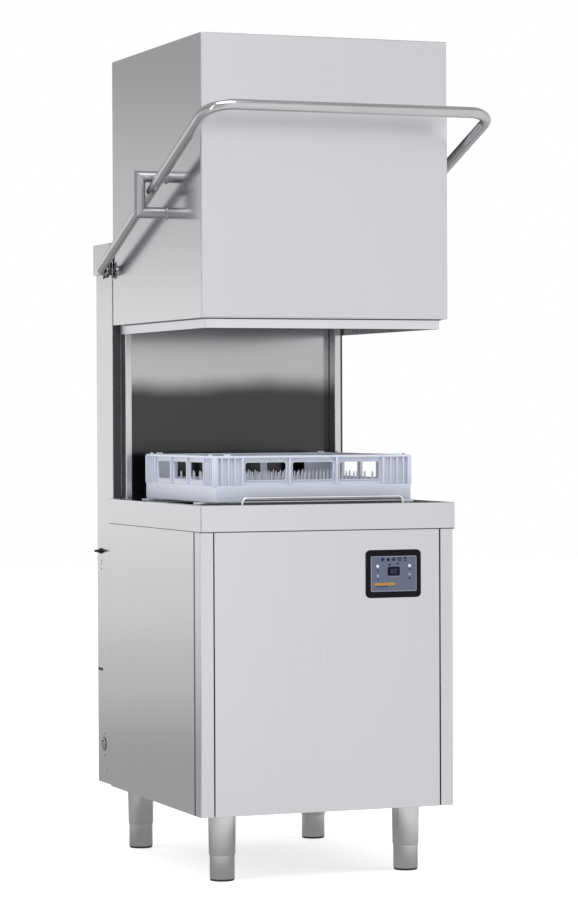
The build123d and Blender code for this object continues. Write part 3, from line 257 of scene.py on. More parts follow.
STEEL = (0.622, 0.625, 0.645)
FINISH = {
    "panel": sheet_steel("brushed_sheet", STEEL, 0.19),
    "hood": sheet_steel("brushed_hood", STEEL, 0.15),
    "hood_front": sheet_steel("brushed_hood_front", STEEL, 0.31),
    "level": sheet_steel("brushed_sheet_level", STEEL, 0.22, level_grain=True),
    "liner": sheet_steel("brushed_liner", shade(STEEL, 1.1), 0.26),
    # back wall: the same steel with its colour darkened to 0.72 as painted shade of the chamber, and a
    # painted dark reflection below 1.165 m
    "wall": sheet_steel("brushed_wall", shade(STEEL, 0.72), 0.16, painted_reflection_below=1.165),
    "seal": moulded("rubber_and_painted_shadow", (0.035, 0.035, 0.04), 0.4, pebble=600),
    "inner": satin_steel("mill_steel", (0.52, 0.52, 0.53), 0.36),
    "satin": satin_steel("satin_tube", (0.6, 0.6, 0.605), 0.2),
    "handle": satin_steel("handle_tube_steel", (0.54, 0.54, 0.55), 0.15),
    "bracket": satin_steel("bracket_steel", (0.4, 0.4, 0.415), 0.4),
    "leg": satin_steel("leg_tube_steel", (0.62, 0.615, 0.625), 0.13),
    "chrome": satin_steel("chrome_wire", (0.8, 0.8, 0.81), 0.34),
    "aluminium": satin_steel("cast_aluminium", (0.42, 0.42, 0.43), 0.5),
    "spring": satin_steel("spring_steel", (0.3, 0.3, 0.31), 0.35),
    "black_metal": satin_steel("blackened_steel", (0.03, 0.03, 0.032), 0.4),
    "gloss_black": moulded(
        "gloss_black", (0.003, 0.003, 0.005), 0.22, pebble=260, depth=0.000008, Specular_IOR_Level=0.12
    ),
    "black_pad": moulded("black_pad", (0.018, 0.018, 0.02), 0.55),
    "grey": moulded("grey_moulding", (0.16, 0.165, 0.18), 0.5),
    "bush": moulded("bush_plastic", (0.03, 0.03, 0.033), 0.45),
    "nylon": moulded("white_nylon", (0.72, 0.72, 0.69), 0.45, Subsurface_Weight=0.1),
    "rack": moulded("rack_plastic", (0.57, 0.59, 0.675), 0.42, pebble=1200, Subsurface_Weight=0.08),
    "hose": moulded("hose_rubber", (0.02, 0.02, 0.02), 0.6, pebble=500, depth=0.0001),
    "fascia": moulded(
        "fascia_overlay", (0.1, 0.108, 0.16), 0.35, pebble=2500, depth=0.00001, Specular_IOR_Level=0.3
    ),
    "fascia_line": moulded("fascia_border", (0.2, 0.21, 0.28), 0.35, pebble=2500, depth=0.00001),
    "ink": moulded(
        "fascia_ink", (0.003, 0.004, 0.016), 0.4, pebble=2500, depth=0.00001, Specular_IOR_Level=0.1
    ),
    "amber": moulded(
        "fascia_amber", (0.36, 0.2, 0.04), 0.4, pebble=2500, depth=0.00001, Specular_IOR_Level=0.2
    ),
    "display": moulded(
        "display_glass", (0.002, 0.003, 0.012), 0.12, pebble=60, depth=0.000002, Specular_IOR_Level=0.12
    ),
    "digit": glowing("display_segments", (0.06, 0.07, 0.13), 0.15),
    "lamp": glowing("lit_cap", (0.5, 0.53, 0.68), 0.35),
    "lamp_dim": glowing("dim_cap", (0.24, 0.26, 0.36), 0.1),
}

CAD_FINISH = {
    "panel": (
        "corner_post_left corner_post_right side_panel_left side_panel_right front_panel rear_column_left "
        "rear_column_right column_cap rear_cover"
    ),
    "hood": "hood_shell",
    "hood_front": "hood_front_panel",
    "wall": "back_wall",
    "level": "worktop",
    "liner": "hood_liner",
    "inner": (
        "base_frame wash_tank tank_filters lower_feed upper_feed booster_boiler heating_elements "
        "hood_carriages lower_wash_arm lower_rinse_arm upper_wash_arm upper_rinse_arm pump_rotor"
    ),
    "satin": "guide_posts panel_screws",
    "handle": "handle_tube",
    "bracket": "hood_brackets",
    "leg": "leg_sleeves foot_front_left foot_front_right foot_rear_left foot_rear_right",
    "chrome": "rack_guides",
    "aluminium": "pump_motor",
    "spring": "counter_springs spring_anchors handle_levers",
    "black_metal": "bonding_stud retaining_clips",
    "gloss_black": "pump_casing control_bezel cable_gland",
    "grey": "inlet_valve dosing_pumps electrical_box drain_pipe overflow_standpipe",
    "bush": "handle_bushes",
    "nylon": "slide_blocks",
    "rack": "dish_rack",
    "hose": "wash_hoses",
    "fascia": "control_fascia",
    "lamp": "button_power button_cycle",
    "lamp_dim": "button_start button_drain",
}
finish_of = {}
for finish, names in CAD_FINISH.items():
    for name in names.split():
        finish_of[name] = finish
        nodes[name].data.materials.clear()
        nodes[name].data.materials.append(FINISH[finish])


# ---------------------------------------------------------------- mesh helpers
SHEET_EDGE = 0.45  # rounding of folded sheet, in millimetres
SHARP = 35.0  # edges that bend by more degrees than this stay sharp
FLAT_FACES = 180.0  # the same, for a piece whose edges are rounded afterwards


def body_of(name):
    return nodes[name]["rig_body"]


def box_of(name):
    """A CAD node's lowest and highest corners in millimetres."""
    low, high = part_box(name)
    return low / MM, high / MM


def shade_smooth(mesh, sharp):
    mesh.polygons.foreach_set("use_smooth", [True] * len(mesh.polygons))
    mesh.set_sharp_from_angle(angle=radians(sharp))


def keep(mesh, name, body, finish, sharp=SHARP, replaced=()):
    """Make a piece from a mesh, shade it, and let it ride on its body."""
    mesh.name = name
    shade_smooth(mesh, sharp)
    mesh.materials.clear()
    mesh.materials.append(FINISH[finish])
    piece = bpy.data.objects.new(name, mesh)
    bpy.context.scene.collection.objects.link(piece)
    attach(piece, body)
    if replaced:
        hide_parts(*replaced)
    return piece


def mesh_of(bm, scale=MM):
    """Close a bmesh, drawn in millimetres as a rule, into a mesh with its faces turned outwards."""
    bmesh.ops.recalc_face_normals(bm, faces=bm.faces)
    mesh = bpy.data.meshes.new("piece")
    bm.to_mesh(mesh)
    bm.free()
    mesh.transform(Matrix.Scale(scale, 4))
    return mesh


def round_edges(piece, width):
    """Round a piece's sharp edges by so many millimetres, with its flat faces kept flat."""
    bevel = piece.modifiers.new("rounded edges", "BEVEL")
    bevel.width = width * MM
    bevel.segments = 2
    bevel.limit_method = "ANGLE"
    bevel.angle_limit = radians(30)
    weighted = piece.modifiers.new("flat faces", "WEIGHTED_NORMAL")
    weighted.mode = "FACE_AREA"
    weighted.weight = 100


def soften(name):
    """Stand a copy of a CAD node in its place, with its flat faces whole and its sharp edges rounded."""
    bm = bmesh.new()
    bm.from_mesh(nodes[name].data)
    bmesh.ops.remove_doubles(bm, verts=bm.verts, dist=0.00001)
    bmesh.ops.dissolve_limit(bm, angle_limit=radians(0.5), verts=bm.verts, edges=bm.edges)
    piece = keep(
        mesh_of(bm, 1.0), name + "_sheet", body_of(name), finish_of[name], FLAT_FACES, (name,)
    )
    round_edges(piece, SHEET_EDGE)


def facing(direction, place):
    """Local X runs across, local Y up and local Z out along a level direction, from a place."""
    out = Vector(direction)
    up = Vector((0, 0, 1))
    return Matrix.Translation(place) @ Matrix((up.cross(out), up, out)).transposed().to_4x4()


def eased(points, steps=4):
    """An outline in which each corner given as (x, y, radius) is an arc.

    The arc has the centre of the corner's tangent arc, and a radius of 1 whatever the corner's radius is,
    because slerp works on unit vectors.
    """
    line = []
    for index, point in enumerate(points):
        corner = Vector(point[:2])
        if len(point) == 2:
            line.append(corner)
            continue
        before = (Vector(points[index - 1][:2]) - corner).normalized()
        after = (Vector(points[(index + 1) % len(points)][:2]) - corner).normalized()
        half = before.angle(after) / 2
        centre = corner + (before + after).normalized() * point[2] / sin(half)
        start = corner + before * point[2] / tan(half) - centre
        end = corner + after * point[2] / tan(half) - centre
        line += [centre + start.slerp(end, step / steps) for step in range(steps + 1)]
    return line


def turned(bm, profile, place, segments=48):
    """Turn (radius, height) points about local Z. A radius of 0 closes an end."""
    rings = []
    for radius, height in profile:
        count = segments if radius else 1
        turns = [2 * pi * step / segments for step in range(count)]
        rings.append([
            bm.verts.new(place @ Vector((radius * cos(turn), radius * sin(turn), height))) for turn in turns
        ])
    for lower, upper in zip(rings, rings[1:]):
        for step in range(segments):
            ends = (step, (step + 1) % segments)
            corners = [lower[end % len(lower)] for end in ends]
            corners += [upper[end % len(upper)] for end in reversed(ends)]
            bm.faces.new(dict.fromkeys(corners))


def rounded_loop(wide, tall, radius, steps=6):
    """A rectangle with round corners, as (x, y) points anticlockwise."""
    loop = []
    for quarter, (right, up) in enumerate(((1, 1), (-1, 1), (-1, -1), (1, -1))):
        for step in range(steps + 1):
            angle = pi / 2 * (quarter + step / steps)
            loop.append((
                right * (wide / 2 - radius) + radius * cos(angle),
                up * (tall / 2 - radius) + radius * sin(angle),
            ))
    return loop


def nest(bm, loops, place, join=False, steps=6):
    """Skin rounded rectangles of (wide, tall, radius, height), capped at both ends or joined into a ring."""
    rings = []
    for wide, tall, radius, height in loops:
        rings.append([
            bm.verts.new(place @ Vector((x, y, height))) for x, y in rounded_loop(wide, tall, radius, steps)
        ])
    if join:
        rings.append(rings[0])
    else:
        bm.faces.new(rings[0])
        bm.faces.new(rings[-1])
    for lower, upper in zip(rings, rings[1:]):
        for step in range(len(lower)):
            after = (step + 1) % len(lower)
            bm.faces.new((lower[step], lower[after], upper[after], upper[step]))


def flat(bm, outline, thick, place):
    """A flat plate from one outline in local X and Y."""
    low = [bm.verts.new(place @ Vector((x, y, 0))) for x, y in outline]
    high = [bm.verts.new(place @ Vector((x, y, thick))) for x, y in outline]
    bm.faces.new(low)
    bm.faces.new(high)
    for step in range(len(low)):
        after = (step + 1) % len(low)
        bm.faces.new((low[step], low[after], high[after], high[step]))


def bar(bm, low, high):
    """A square-edged bar between two corners, for a piece whose edges are rounded afterwards."""
    low, high = Vector(low), Vector(high)
    size = Matrix.Diagonal((*(high - low), 1))
    bmesh.ops.create_cube(bm, size=1, matrix=Matrix.Translation((low + high) / 2) @ size)


def wire(points, radius):
    """Round wire along a smooth curve through its points."""
    curve = bpy.data.curves.new("wire", "CURVE")
    curve.dimensions = "3D"
    curve.bevel_depth = radius
    curve.bevel_resolution = 4
    curve.use_fill_caps = True
    spline = curve.splines.new("BEZIER")
    spline.bezier_points.add(len(points) - 1)
    for bezier, point in zip(spline.bezier_points, points):
        bezier.co = point
        bezier.handle_left_type = "AUTO"
        bezier.handle_right_type = "AUTO"
    holder = bpy.data.objects.new("wire", curve)
    mesh = bpy.data.meshes.new_from_object(holder)
    bpy.data.objects.remove(holder)
    return mesh


# ---------------------------------------------------------------- casing
FRONT, LEFT, RIGHT, REAR = (0, -1, 0), (-1, 0, 0), (1, 0, 0), (0, 1, 0)
CABINET = body_of("front_panel")
HOOD = body_of("hood_shell")

for name in (
    "corner_post_left corner_post_right side_panel_left side_panel_right front_panel rear_column_left "
    "rear_column_right column_cap back_wall rear_cover hood_shell hood_front_panel worktop hood_liner "
    "base_frame guide_posts"
).split():
    soften(name)


def rubber(bm, name, body, rounding):
    """A piece in the dark rubber finish with its edges rounded by so many millimetres: real rubber, and also
    dark strips that stand for shadow.
    """
    round_edges(keep(mesh_of(bm), name, body, "seal", FLAT_FACES), rounding)


def wiper_strips():
    """Ribbed rubber strips on the front of the columns, which the back of the hood runs past."""
    column_low, _ = box_of("rear_column_left")
    cap_low, _ = box_of("column_cap")
    _, deck = box_of("worktop")
    _, post = box_of("guide_posts")
    inner, outer = post.x + 1, -column_low.x - 1
    face, foot, top = column_low.y, deck.z + 1, cap_low.z
    ribs, margin = 4, 2
    bm = bmesh.new()
    for side in (-1, 1):
        bar(bm, (side * inner, face - 0.9, foot), (side * outer, face, top))
        for rib in range(ribs):
            x = inner + margin + rib * (outer - inner - 2 * margin) / (ribs - 1)
            bar(bm, (side * (x - 1), face - 1.7, foot), (side * (x + 1), face - 0.5, top))
    rubber(bm, "wiper_strips", CABINET, 0.25)


def hood_painted_shadow_bead():
    """A dark bead where the liner comes out of the hood, round the front and both sides: painted shadow of
    the gap under the hood's edge.
    """
    liner_low, _ = box_of("hood_liner")
    shell_low, _ = box_of("hood_shell")
    half, front, edge = -liner_low.x, liner_low.y, shell_low.z
    proud, rear = 3.0, 300.0
    low, top = edge - 2.6, edge + 0.5
    bm = bmesh.new()
    bar(bm, (-half - proud, front - proud, low), (half + proud, front + 1, top))
    for side in (-1, 1):
        bar(bm, (side * (half - 1), front, low), (side * (half + proud), rear, top))
    rubber(bm, "hood_painted_shadow_bead", HOOD, 0.6)


def painted_shadow_seams():
    """Dark strips in the seams behind the corner posts, under the apron and along the rear edges of the side
    panels: the seams are real, their darkness is painted shadow.
    """
    post_low, post_high = box_of("corner_post_left")
    panel_low, panel_high = box_of("side_panel_left")
    apron, _ = box_of("worktop")
    half, front, rear = -post_low.x, post_low.y, panel_high.y
    seam_y = (post_high.y + panel_low.y) / 2
    foot, top = panel_low.z + 0.5, apron.z
    bm = bmesh.new()
    bar(bm, (-half - 0.8, apron.y + 2, top - 2.4), (half + 0.8, front, top))
    for side in (-1, 1):
        bar(bm, (side * (half - 4), seam_y - 4, foot), (side * (half + 0.3), seam_y + 4, top - 1))
        bar(bm, (side * (half - 1), front, top - 1.8), (side * (half + 1.1), rear, top))
        bar(bm, (side * (half - 6), rear, foot), (side * (half - 0.4), rear + 1.4, top))
    rubber(bm, "painted_shadow_seams", CABINET, 0.15)


def bracket_flanges():
    """Weld flanges where the bars of the brackets meet the sides of the hood."""
    low, high = box_of("hood_brackets")
    _, shell = box_of("hood_shell")
    bar_r, flange = (high.y - low.y) / 2, 3.4
    profile = eased([
        (0, 0), (bar_r + flange, 0), (bar_r + 3.2, 2.4, 0.8), (bar_r, flange, 0.4), (0, flange)
    ])
    bm = bmesh.new()
    for direction, side in ((LEFT, -1), (RIGHT, 1)):
        for z in (low.z + bar_r, high.z - bar_r):
            turned(bm, profile, facing(direction, (side * shell.x, (low.y + high.y) / 2, z)))
    keep(mesh_of(bm), "bracket_flanges", HOOD, "bracket")


def buffer_strip():
    """Dark rubber buffer with a bright bead, clipped below the wire loop in front of the rack."""
    low, high = box_of("rack_guides")
    wire_r, reach = 3.0, 197.0
    loop_y, top = low.y + wire_r, high.z - 2 * wire_r
    strip = bmesh.new()
    bar(strip, (-reach, loop_y - 2, top - 13), (reach, loop_y + 2, top - 1.5))
    rubber(strip, "buffer_strip", CABINET, 0.8)
    bead = bmesh.new()
    bar(bead, (-reach, loop_y - 2.9, top - 7), (reach, loop_y - 1.5, top - 5.2))
    round_edges(keep(mesh_of(bead), "buffer_bead", CABINET, "chrome", FLAT_FACES), 0.5)


wiper_strips()
hood_painted_shadow_bead()
painted_shadow_seams()
bracket_flanges()
buffer_strip()


# ---------------------------------------------------------------- legs
LEG_SEGMENTS = 64


def legs():
    """Pressed sleeves, and telescopic feet that each end in a dark pad."""
    sleeve_low, sleeve_high = box_of("leg_sleeves")
    plug, pad_high = 6, 5.3
    bm = bmesh.new()
    for place in ("front_left", "front_right", "rear_left", "rear_right"):
        name = "foot_" + place
        low, high = box_of(name)
        middle = (low + high) / 2
        foot_r = (high.x - low.x) / 2
        sleeve_r, bore_r = foot_r + 3.5, foot_r + 0.4
        stand = Matrix.Translation((middle.x, middle.y, 0))
        turned(bm, eased([
            (0, sleeve_high.z), (sleeve_r, sleeve_high.z), (sleeve_r, sleeve_low.z, 2.6),
            (bore_r, sleeve_low.z, 0.3), (bore_r, sleeve_high.z - plug), (0, sleeve_high.z - plug),
        ]), stand, LEG_SEGMENTS)
        tube = bmesh.new()
        foot = pad_high + 0.1
        turned(tube, eased([
            (0, high.z), (foot_r, high.z, 0.8), (foot_r, foot, 0.8), (0, foot)
        ]), stand, LEG_SEGMENTS)
        keep(mesh_of(tube), name + "_tube", body_of(name), "leg", replaced=(name,))
        pad = bmesh.new()
        turned(pad, eased([
            (0, pad_high), (foot_r - 0.6, pad_high, 0.6), (foot_r - 1, 0, 1.4), (0, 0)
        ]), stand, LEG_SEGMENTS)
        keep(mesh_of(pad), name + "_pad", body_of(name), "black_pad")
    keep(mesh_of(bm), "leg_sleeve_tubes", CABINET, "leg", replaced=("leg_sleeves",))


legs()


# ---------------------------------------------------------------- small fittings
CLIP_R = 1.5
CLIP_ROUTE = (  # y and z from the pin hole: the straight leg, the eye and the bowed leg
    (0, -18.5), (0, -6), (0, 8), (0, 17), (2.6, 21.5), (6.6, 21.0), (8.2, 17.5), (10.5, 12.5),
    (14.6, 5), (15.0, -4), (11.5, -11.5), (10.0, -15), (12.5, -18.5),
)


def r_clips():
    """Black spring clips through the ends of the handle's tube: one straight leg and one bowed leg."""
    name = "retaining_clips"
    low, high = box_of(name)
    pin_y, pin_z = (low.y + high.y) / 2, low.z + 19
    bm = bmesh.new()
    for side in (-1, 1):
        clip_x = side * (high.x - CLIP_R)
        bm.from_mesh(wire([(clip_x, pin_y + y, pin_z + z) for y, z in CLIP_ROUTE], CLIP_R))
    keep(mesh_of(bm), "r_clips", body_of(name), "black_metal", 40.0, (name,))


def pan_head(bm, place):
    """A low pan-head screw with a round socket."""
    turned(bm, eased([
        (0, 0), (3.5, 0), (3.5, 0.9, 0.3), (2.2, 1.6, 0.6), (1.5, 1.6, 0.1), (1.35, 0.7), (0, 0.7)
    ], 3), place, 32)


PLATE_Y, PLATE_Z = 436, 256  # middle of the blanking plate
PLATE_SCREW = 27  # its two screws are so far above and below
COVER_SCREWS = (198, (230, 530, 830, 1130, 1400))  # x either side, and heights
COLUMN_SCREW = (420, 192)  # y and z
BLACK_SCREWS = ((452, 442), (470, 442))
COVER_SHEET = 1.5


def screws():
    """Pan-head screws on the columns and round the rear cover."""
    cover_low, _ = box_of("rear_cover")
    _, column = box_of("rear_column_right")
    bright, black = bmesh.new(), bmesh.new()
    cover_x, heights = COVER_SCREWS
    for z in heights:
        for side in (-1, 1):
            pan_head(bright, facing(REAR, (side * cover_x, cover_low.y + COVER_SHEET, z)))
    for bm, places in ((black, BLACK_SCREWS), (bright, (COLUMN_SCREW,))):
        for y, z in places:
            pan_head(bm, facing(LEFT, (-column.x, y, z)))
            pan_head(bm, facing(RIGHT, (column.x, y, z)))
    keep(mesh_of(black), "black_screws", CABINET, "black_pad", 30.0)
    for z in (PLATE_Z - PLATE_SCREW, PLATE_Z + PLATE_SCREW):
        pan_head(bright, facing(LEFT, (-column.x, PLATE_Y, z)))
    keep(mesh_of(bright), "pan_head_screws", CABINET, "satin", 30.0, ("panel_screws",))


def stud():
    """Bonding stud: a washer, a hexagon nut and a threaded end."""
    name = "bonding_stud"
    low, high = box_of(name)
    place = facing(LEFT, (high.x, (low.y + high.y) / 2, (low.z + high.z) / 2))
    bm = bmesh.new()
    turned(bm, eased([(0, 0), (7, 0), (7, 2, 0.4), (0, 2)]), place)
    turned(bm, eased([(0, 2), (5.2, 2), (6, 2.5), (6, 7.3), (5.2, 8), (0, 8)]), place, 6)
    thread = [(0, 1.0), (2.6, 1.0)]
    for turn in range(20):
        thread += [(3.0, 7.0 + turn * 0.5), (2.65, 7.25 + turn * 0.5)]
    turned(bm, thread + [(2.3, 17.9), (0, 18)], place, 24)
    keep(mesh_of(bm), "bonding_stud_set", CABINET, "black_metal", 30.0, (name,))


def blanking_plate():
    """A round blanking plate on its gasket between two screws, and three small rivets higher up."""
    _, column = box_of("rear_column_right")
    seat = facing(LEFT, (-column.x, PLATE_Y, PLATE_Z))
    bm = bmesh.new()
    turned(bm, eased([
        (0, 0), (14.5, 0), (14.5, 1.5, 0.5), (11.5, 1.5, 0.3), (10.6, 0.7, 0.3), (6.5, 0.7, 0.4),
        (5.5, 1.2, 0.3), (0, 1.3),
    ]), seat)
    rivet = eased([(0, 0), (1.6, 0), (1.6, 0.8, 0.3), (0, 0.9)])
    for z in (715, 708, 695):
        turned(bm, rivet, facing(LEFT, (-column.x, 451, z)), 20)
    keep(mesh_of(bm), "blanking_plate", CABINET, "satin", 30.0)
    gasket = bmesh.new()
    turned(gasket, eased([(0, 0), (16.4, 0), (16.4, 1.0, 0.4), (14, 1.2), (0, 1.2)]), seat)
    keep(mesh_of(gasket), "blanking_gasket", CABINET, "seal", 30.0)


r_clips()
screws()
stud()
blanking_plate()


# ---------------------------------------------------------------- control panel
INK = 0.22  # thickness of the printed layers
ICON_Z = 33.6  # height of the row of pictograms above the middle of the overlay
DISPLAY_Z = 6
KEY_CAP_R = 3.35


FASCIA_LOW, FASCIA_HIGH = box_of("control_fascia")
FASCIA_WIDE, FASCIA_TALL = FASCIA_HIGH.x - FASCIA_LOW.x, FASCIA_HIGH.z - FASCIA_LOW.z
FASCIA_X, FASCIA_Z = (FASCIA_LOW.x + FASCIA_HIGH.x) / 2, (FASCIA_LOW.z + FASCIA_HIGH.z) / 2
FASCIA_FACE = facing(FRONT, (FASCIA_X, FASCIA_LOW.y, FASCIA_Z))


def bezel():
    """Glossy bezel round the overlay."""
    low, high = box_of("control_bezel")
    panel_y = box_of("front_panel")[0].y
    wide, tall = high.x - low.x, high.z - low.z
    proud, glass = panel_y - low.y, panel_y - FASCIA_LOW.y
    bm = bmesh.new()
    nest(bm, [
        (wide, tall, 11, 0), (wide, tall, 11, 2.6), (wide - 0.8, tall - 0.8, 10.6, 4.4),
        (wide - 2.6, tall - 2.6, 9.8, 5.6), (wide - 5.0, tall - 5.0, 9.0, proud),
        (FASCIA_WIDE + 3.2, FASCIA_TALL + 3.2, 5.0, proud),
        (FASCIA_WIDE + 1.0, FASCIA_TALL + 1.0, 4.0, proud - 0.5),
        (FASCIA_WIDE - 0.6, FASCIA_TALL - 0.6, 3.2, glass + 0.15),
        (FASCIA_WIDE - 0.6, FASCIA_TALL - 0.6, 3.2, 0.5),
    ], facing(FRONT, (FASCIA_X, panel_y, FASCIA_Z)), join=True, steps=8)
    keep(mesh_of(bm), "bezel", CABINET, "gloss_black", 50.0, ("control_bezel",))


def at(dx, dz):
    """A place on the overlay, from its middle."""
    return FASCIA_FACE @ Matrix.Translation((dx, dz, 0))


def disc(layer, dx, dz, radius):
    turned(layer, [(0, 0), (radius, 0), (radius, INK), (0, INK)], at(dx, dz), 28)


def ink_ring(layer, dx, dz, size, line):
    inner = size - 2 * line
    outer_r, inner_r = size / 2 - 0.01, inner / 2 - 0.01
    nest(layer, [
        (size, size, outer_r, 0), (size, size, outer_r, INK),
        (inner, inner, inner_r, INK), (inner, inner, inner_r, 0),
    ], at(dx, dz), join=True)


def patch(layer, dx, dz, points):
    flat(layer, points, INK, at(dx, dz))


def strip(layer, dx, dz, width, height):
    nest(layer, [(width, height, 0.3, 0), (width, height, 0.3, INK)], at(dx, dz), steps=3)


def triangle(layer, dx, dz, size, up):
    tip = size * (0.5 if up else -0.5)
    patch(layer, dx, dz, [(-size / 2, -tip), (size / 2, -tip), (0, tip)])


def border(layer):
    nest(layer, [
        (FASCIA_WIDE - 1.4, FASCIA_TALL - 1.4, 3, 0), (FASCIA_WIDE - 1.4, FASCIA_TALL - 1.4, 3, 0.2),
        (FASCIA_WIDE - 6.0, FASCIA_TALL - 6.0, 2.4, 0.2), (FASCIA_WIDE - 6.0, FASCIA_TALL - 6.0, 2.4, 0),
    ], FASCIA_FACE, join=True)
    for dx in (-7, 2.5, 12):
        nest(layer, [(6.5, 1.3, 0.5, 0), (6.5, 1.3, 0.5, 0.3)], at(dx, -6.8))


def symbols(layer):
    """Generic pictograms in a row, and marks beside the display and the keys."""
    # plate
    ink_ring(layer, -28, ICON_Z, 9.0, 1.5)
    disc(layer, -28, ICON_Z, 2.2)
    # water drop
    turns = [pi * step / 9 for step in range(1, -11, -1)]
    patch(layer, -14, ICON_Z, [(0, 5)] + [(3.4 * cos(turn), 3.4 * sin(turn) - 1.1) for turn in turns])
    # heat
    for rung in (-2.9, 0, 2.9):
        strip(layer, 0, ICON_Z + rung, 9.6 - abs(rung), 1.9)
    # timer
    ink_ring(layer, 15, ICON_Z, 9.0, 1.8)
    strip(layer, 15, ICON_Z + 1.4, 1.4, 3.6)
    # drain
    triangle(layer, 29, ICON_Z + 1.0, 7.2, False)
    strip(layer, 29, ICON_Z - 3.8, 8.4, 1.5)
    # steps of the cycle, either side above the display
    triangle(layer, -10.5, 22.4, 6.0, True)
    triangle(layer, 10.5, 22.4, 6.0, False)
    # marks under the four keys
    ink_ring(layer, -40.5, 7.4, 4.6, 0.8)
    strip(layer, -40.5, 9.0, 0.9, 2.6)
    triangle(layer, -40.5, -12.7, 4.2, True)
    strip(layer, 38.9, 9.8, 1.2, 4.0)
    strip(layer, 41.1, 9.8, 1.2, 4.0)
    nest(layer, [(4, 4, 0.6, 0), (4, 4, 0.6, INK)], at(40, -10.8))
    # thin line under the colour bar
    strip(layer, -30, -29.4, 32, 1.3)
    strip(layer, -3, -29.0, 9, 0.9)


def colour_bar(layer):
    nest(layer, [(53, 6.2, 1.4, 0), (53, 6.2, 1.4, 0.25)], at(-23.2, -23.8))


def display(layer):
    nest(layer, [(30.5, 20.5, 3, 0), (30.5, 20.5, 3, 0.5), (29.7, 19.7, 2.6, 0.8)], at(0, DISPLAY_Z))


SEGMENT_LONG, SEGMENT_LINE = 4.4, 0.9
SEGMENTS = {  # across and up in half segments, and whether the segment lies level
    "top": (0, 2, True), "middle": (0, 0, True), "bottom": (0, -2, True),
    "left_up": (-1, 1, False), "right_up": (1, 1, False),
    "left_low": (-1, -1, False), "right_low": (1, -1, False),
}
FIGURES = {  # a six and a zero, by their place across
    -4.0: "top middle bottom left_up left_low right_low",
    4.0: "top bottom left_up right_up left_low right_low",
}


def figures(layer):
    """Two seven-segment figures behind the display's glass."""
    for dx, lit in FIGURES.items():
        for name in lit.split():
            across, up, level = SEGMENTS[name]
            size = (SEGMENT_LONG - 0.4, SEGMENT_LINE) if level else (SEGMENT_LINE, SEGMENT_LONG - 0.4)
            place = at(dx + across * SEGMENT_LONG / 2, DISPLAY_Z + up * SEGMENT_LONG / 2)
            nest(layer, [(*size, 0.35, 0.75), (*size, 0.35, 0.95)], place, steps=3)


def overlay():
    """The printed layers of the overlay, and its display."""
    for name, finish, draw in (
        ("overlay_border", "fascia_line", border),
        ("overlay_symbols", "ink", symbols),
        ("overlay_colour_bar", "amber", colour_bar),
        ("display_window", "display", display),
        ("display_figures", "digit", figures),
    ):
        layer = bmesh.new()
        draw(layer)
        keep(mesh_of(layer), name, CABINET, finish, 40.0)


def key_caps():
    """Four small lit keys."""
    for name in ("button_power", "button_start", "button_cycle", "button_drain"):
        low, high = box_of(name)
        seat = facing(FRONT, ((low.x + high.x) / 2, FASCIA_LOW.y, (low.z + high.z) / 2))
        cap = bmesh.new()
        turned(cap, eased([(0, -4), (KEY_CAP_R, -4), (KEY_CAP_R, 0.9, 0.7), (0, 1.2)], 5), seat, 40)
        keep(mesh_of(cap), name + "_cap", body_of(name), finish_of[name], replaced=(name,))


bezel()
overlay()
key_caps()


# ---------------------------------------------------------------- dish rack
RACK_CORNER = 12.0
RACK_BAND = 38.0
WALL_OUTSIDE, WALL_INSIDE = 7.5, 10.0  # distances in from the band's face
WINDOW_WIDE, WINDOW_TALL, WINDOW_CORNER = 102.0, 42.0, 6.0
WINDOW_RISE = 71.0
WINDOW_PITCH = 118.0
WINDOW_RIBS = ((-1.5, 2.4), (-0.5, 2.4), (0.5, 2.4), (1.5, 2.4))  # in window pitches, and half widths
CORNER_RIBS = ((196, 1.6), (212, 1.6), (228, 1.6), (243, 4.5))  # from the middle, and half widths
GRID_PITCH = 48.0
GRID_LINES = range(-5, 6)
PEG_LINES = range(-4, 5)
PEG = ((8, 8, 2, 3), (7, 7, 2, 9), (4.2, 4.2, 1.6, 62), (3.0, 3.0, 1.3, 66), (1.4, 1.4, 0.6, 67.5))


RACK_LOW, RACK_HIGH = box_of("dish_rack")
RACK_X, RACK_Y = (RACK_LOW.x + RACK_HIGH.x) / 2, (RACK_LOW.y + RACK_HIGH.y) / 2
RACK_HALF = (RACK_HIGH.x - RACK_LOW.x) / 2
BASE = RACK_LOW.z
BAND_TOP, RIM_TOP = BASE + RACK_BAND, RACK_HIGH.z - 3


def plastic(bm, name, sharp=SHARP, replaced=()):
    """A piece of the rack."""
    return keep(mesh_of(bm), name, body_of("dish_rack"), "rack", sharp, replaced)


def spot(x, y, z=0):
    """A place from the middle of the rack."""
    return Matrix.Translation((RACK_X + x, RACK_Y + y, z))


def wall_ring(bm, section):
    """A wall all round, from (inset, height) points of its section."""
    nest(bm, [
        (2 * (RACK_HALF - inset), 2 * (RACK_HALF - inset), RACK_CORNER - inset, z) for inset, z in section
    ], spot(0, 0), join=True, steps=8)


def block(bm, x, y, z):
    """A bar between two distances from the rack's middle along X and Y, and two heights."""
    bar(bm, (RACK_X + x[0], RACK_Y + y[0], z[0]), (RACK_X + x[1], RACK_Y + y[1], z[1]))


def rack_frame():
    """The low band with its shelf, and the rim."""
    bm = bmesh.new()
    wall_ring(bm, eased([
        (0.9, BASE), (0, BASE + 3), (0, BAND_TOP, 1.2), (9.6, BAND_TOP), (9.6, BAND_TOP - 3),
        (4.6, BAND_TOP - 4), (4.6, BASE),
    ], 3))
    wall_ring(bm, eased([
        (0, RIM_TOP - 6, 1.0), (0, RIM_TOP, 1.4), (10.5, RIM_TOP, 1.4), (10.5, RIM_TOP - 6, 1.0)
    ], 3))
    plastic(bm, "rack_band_and_rim", replaced=("dish_rack",))


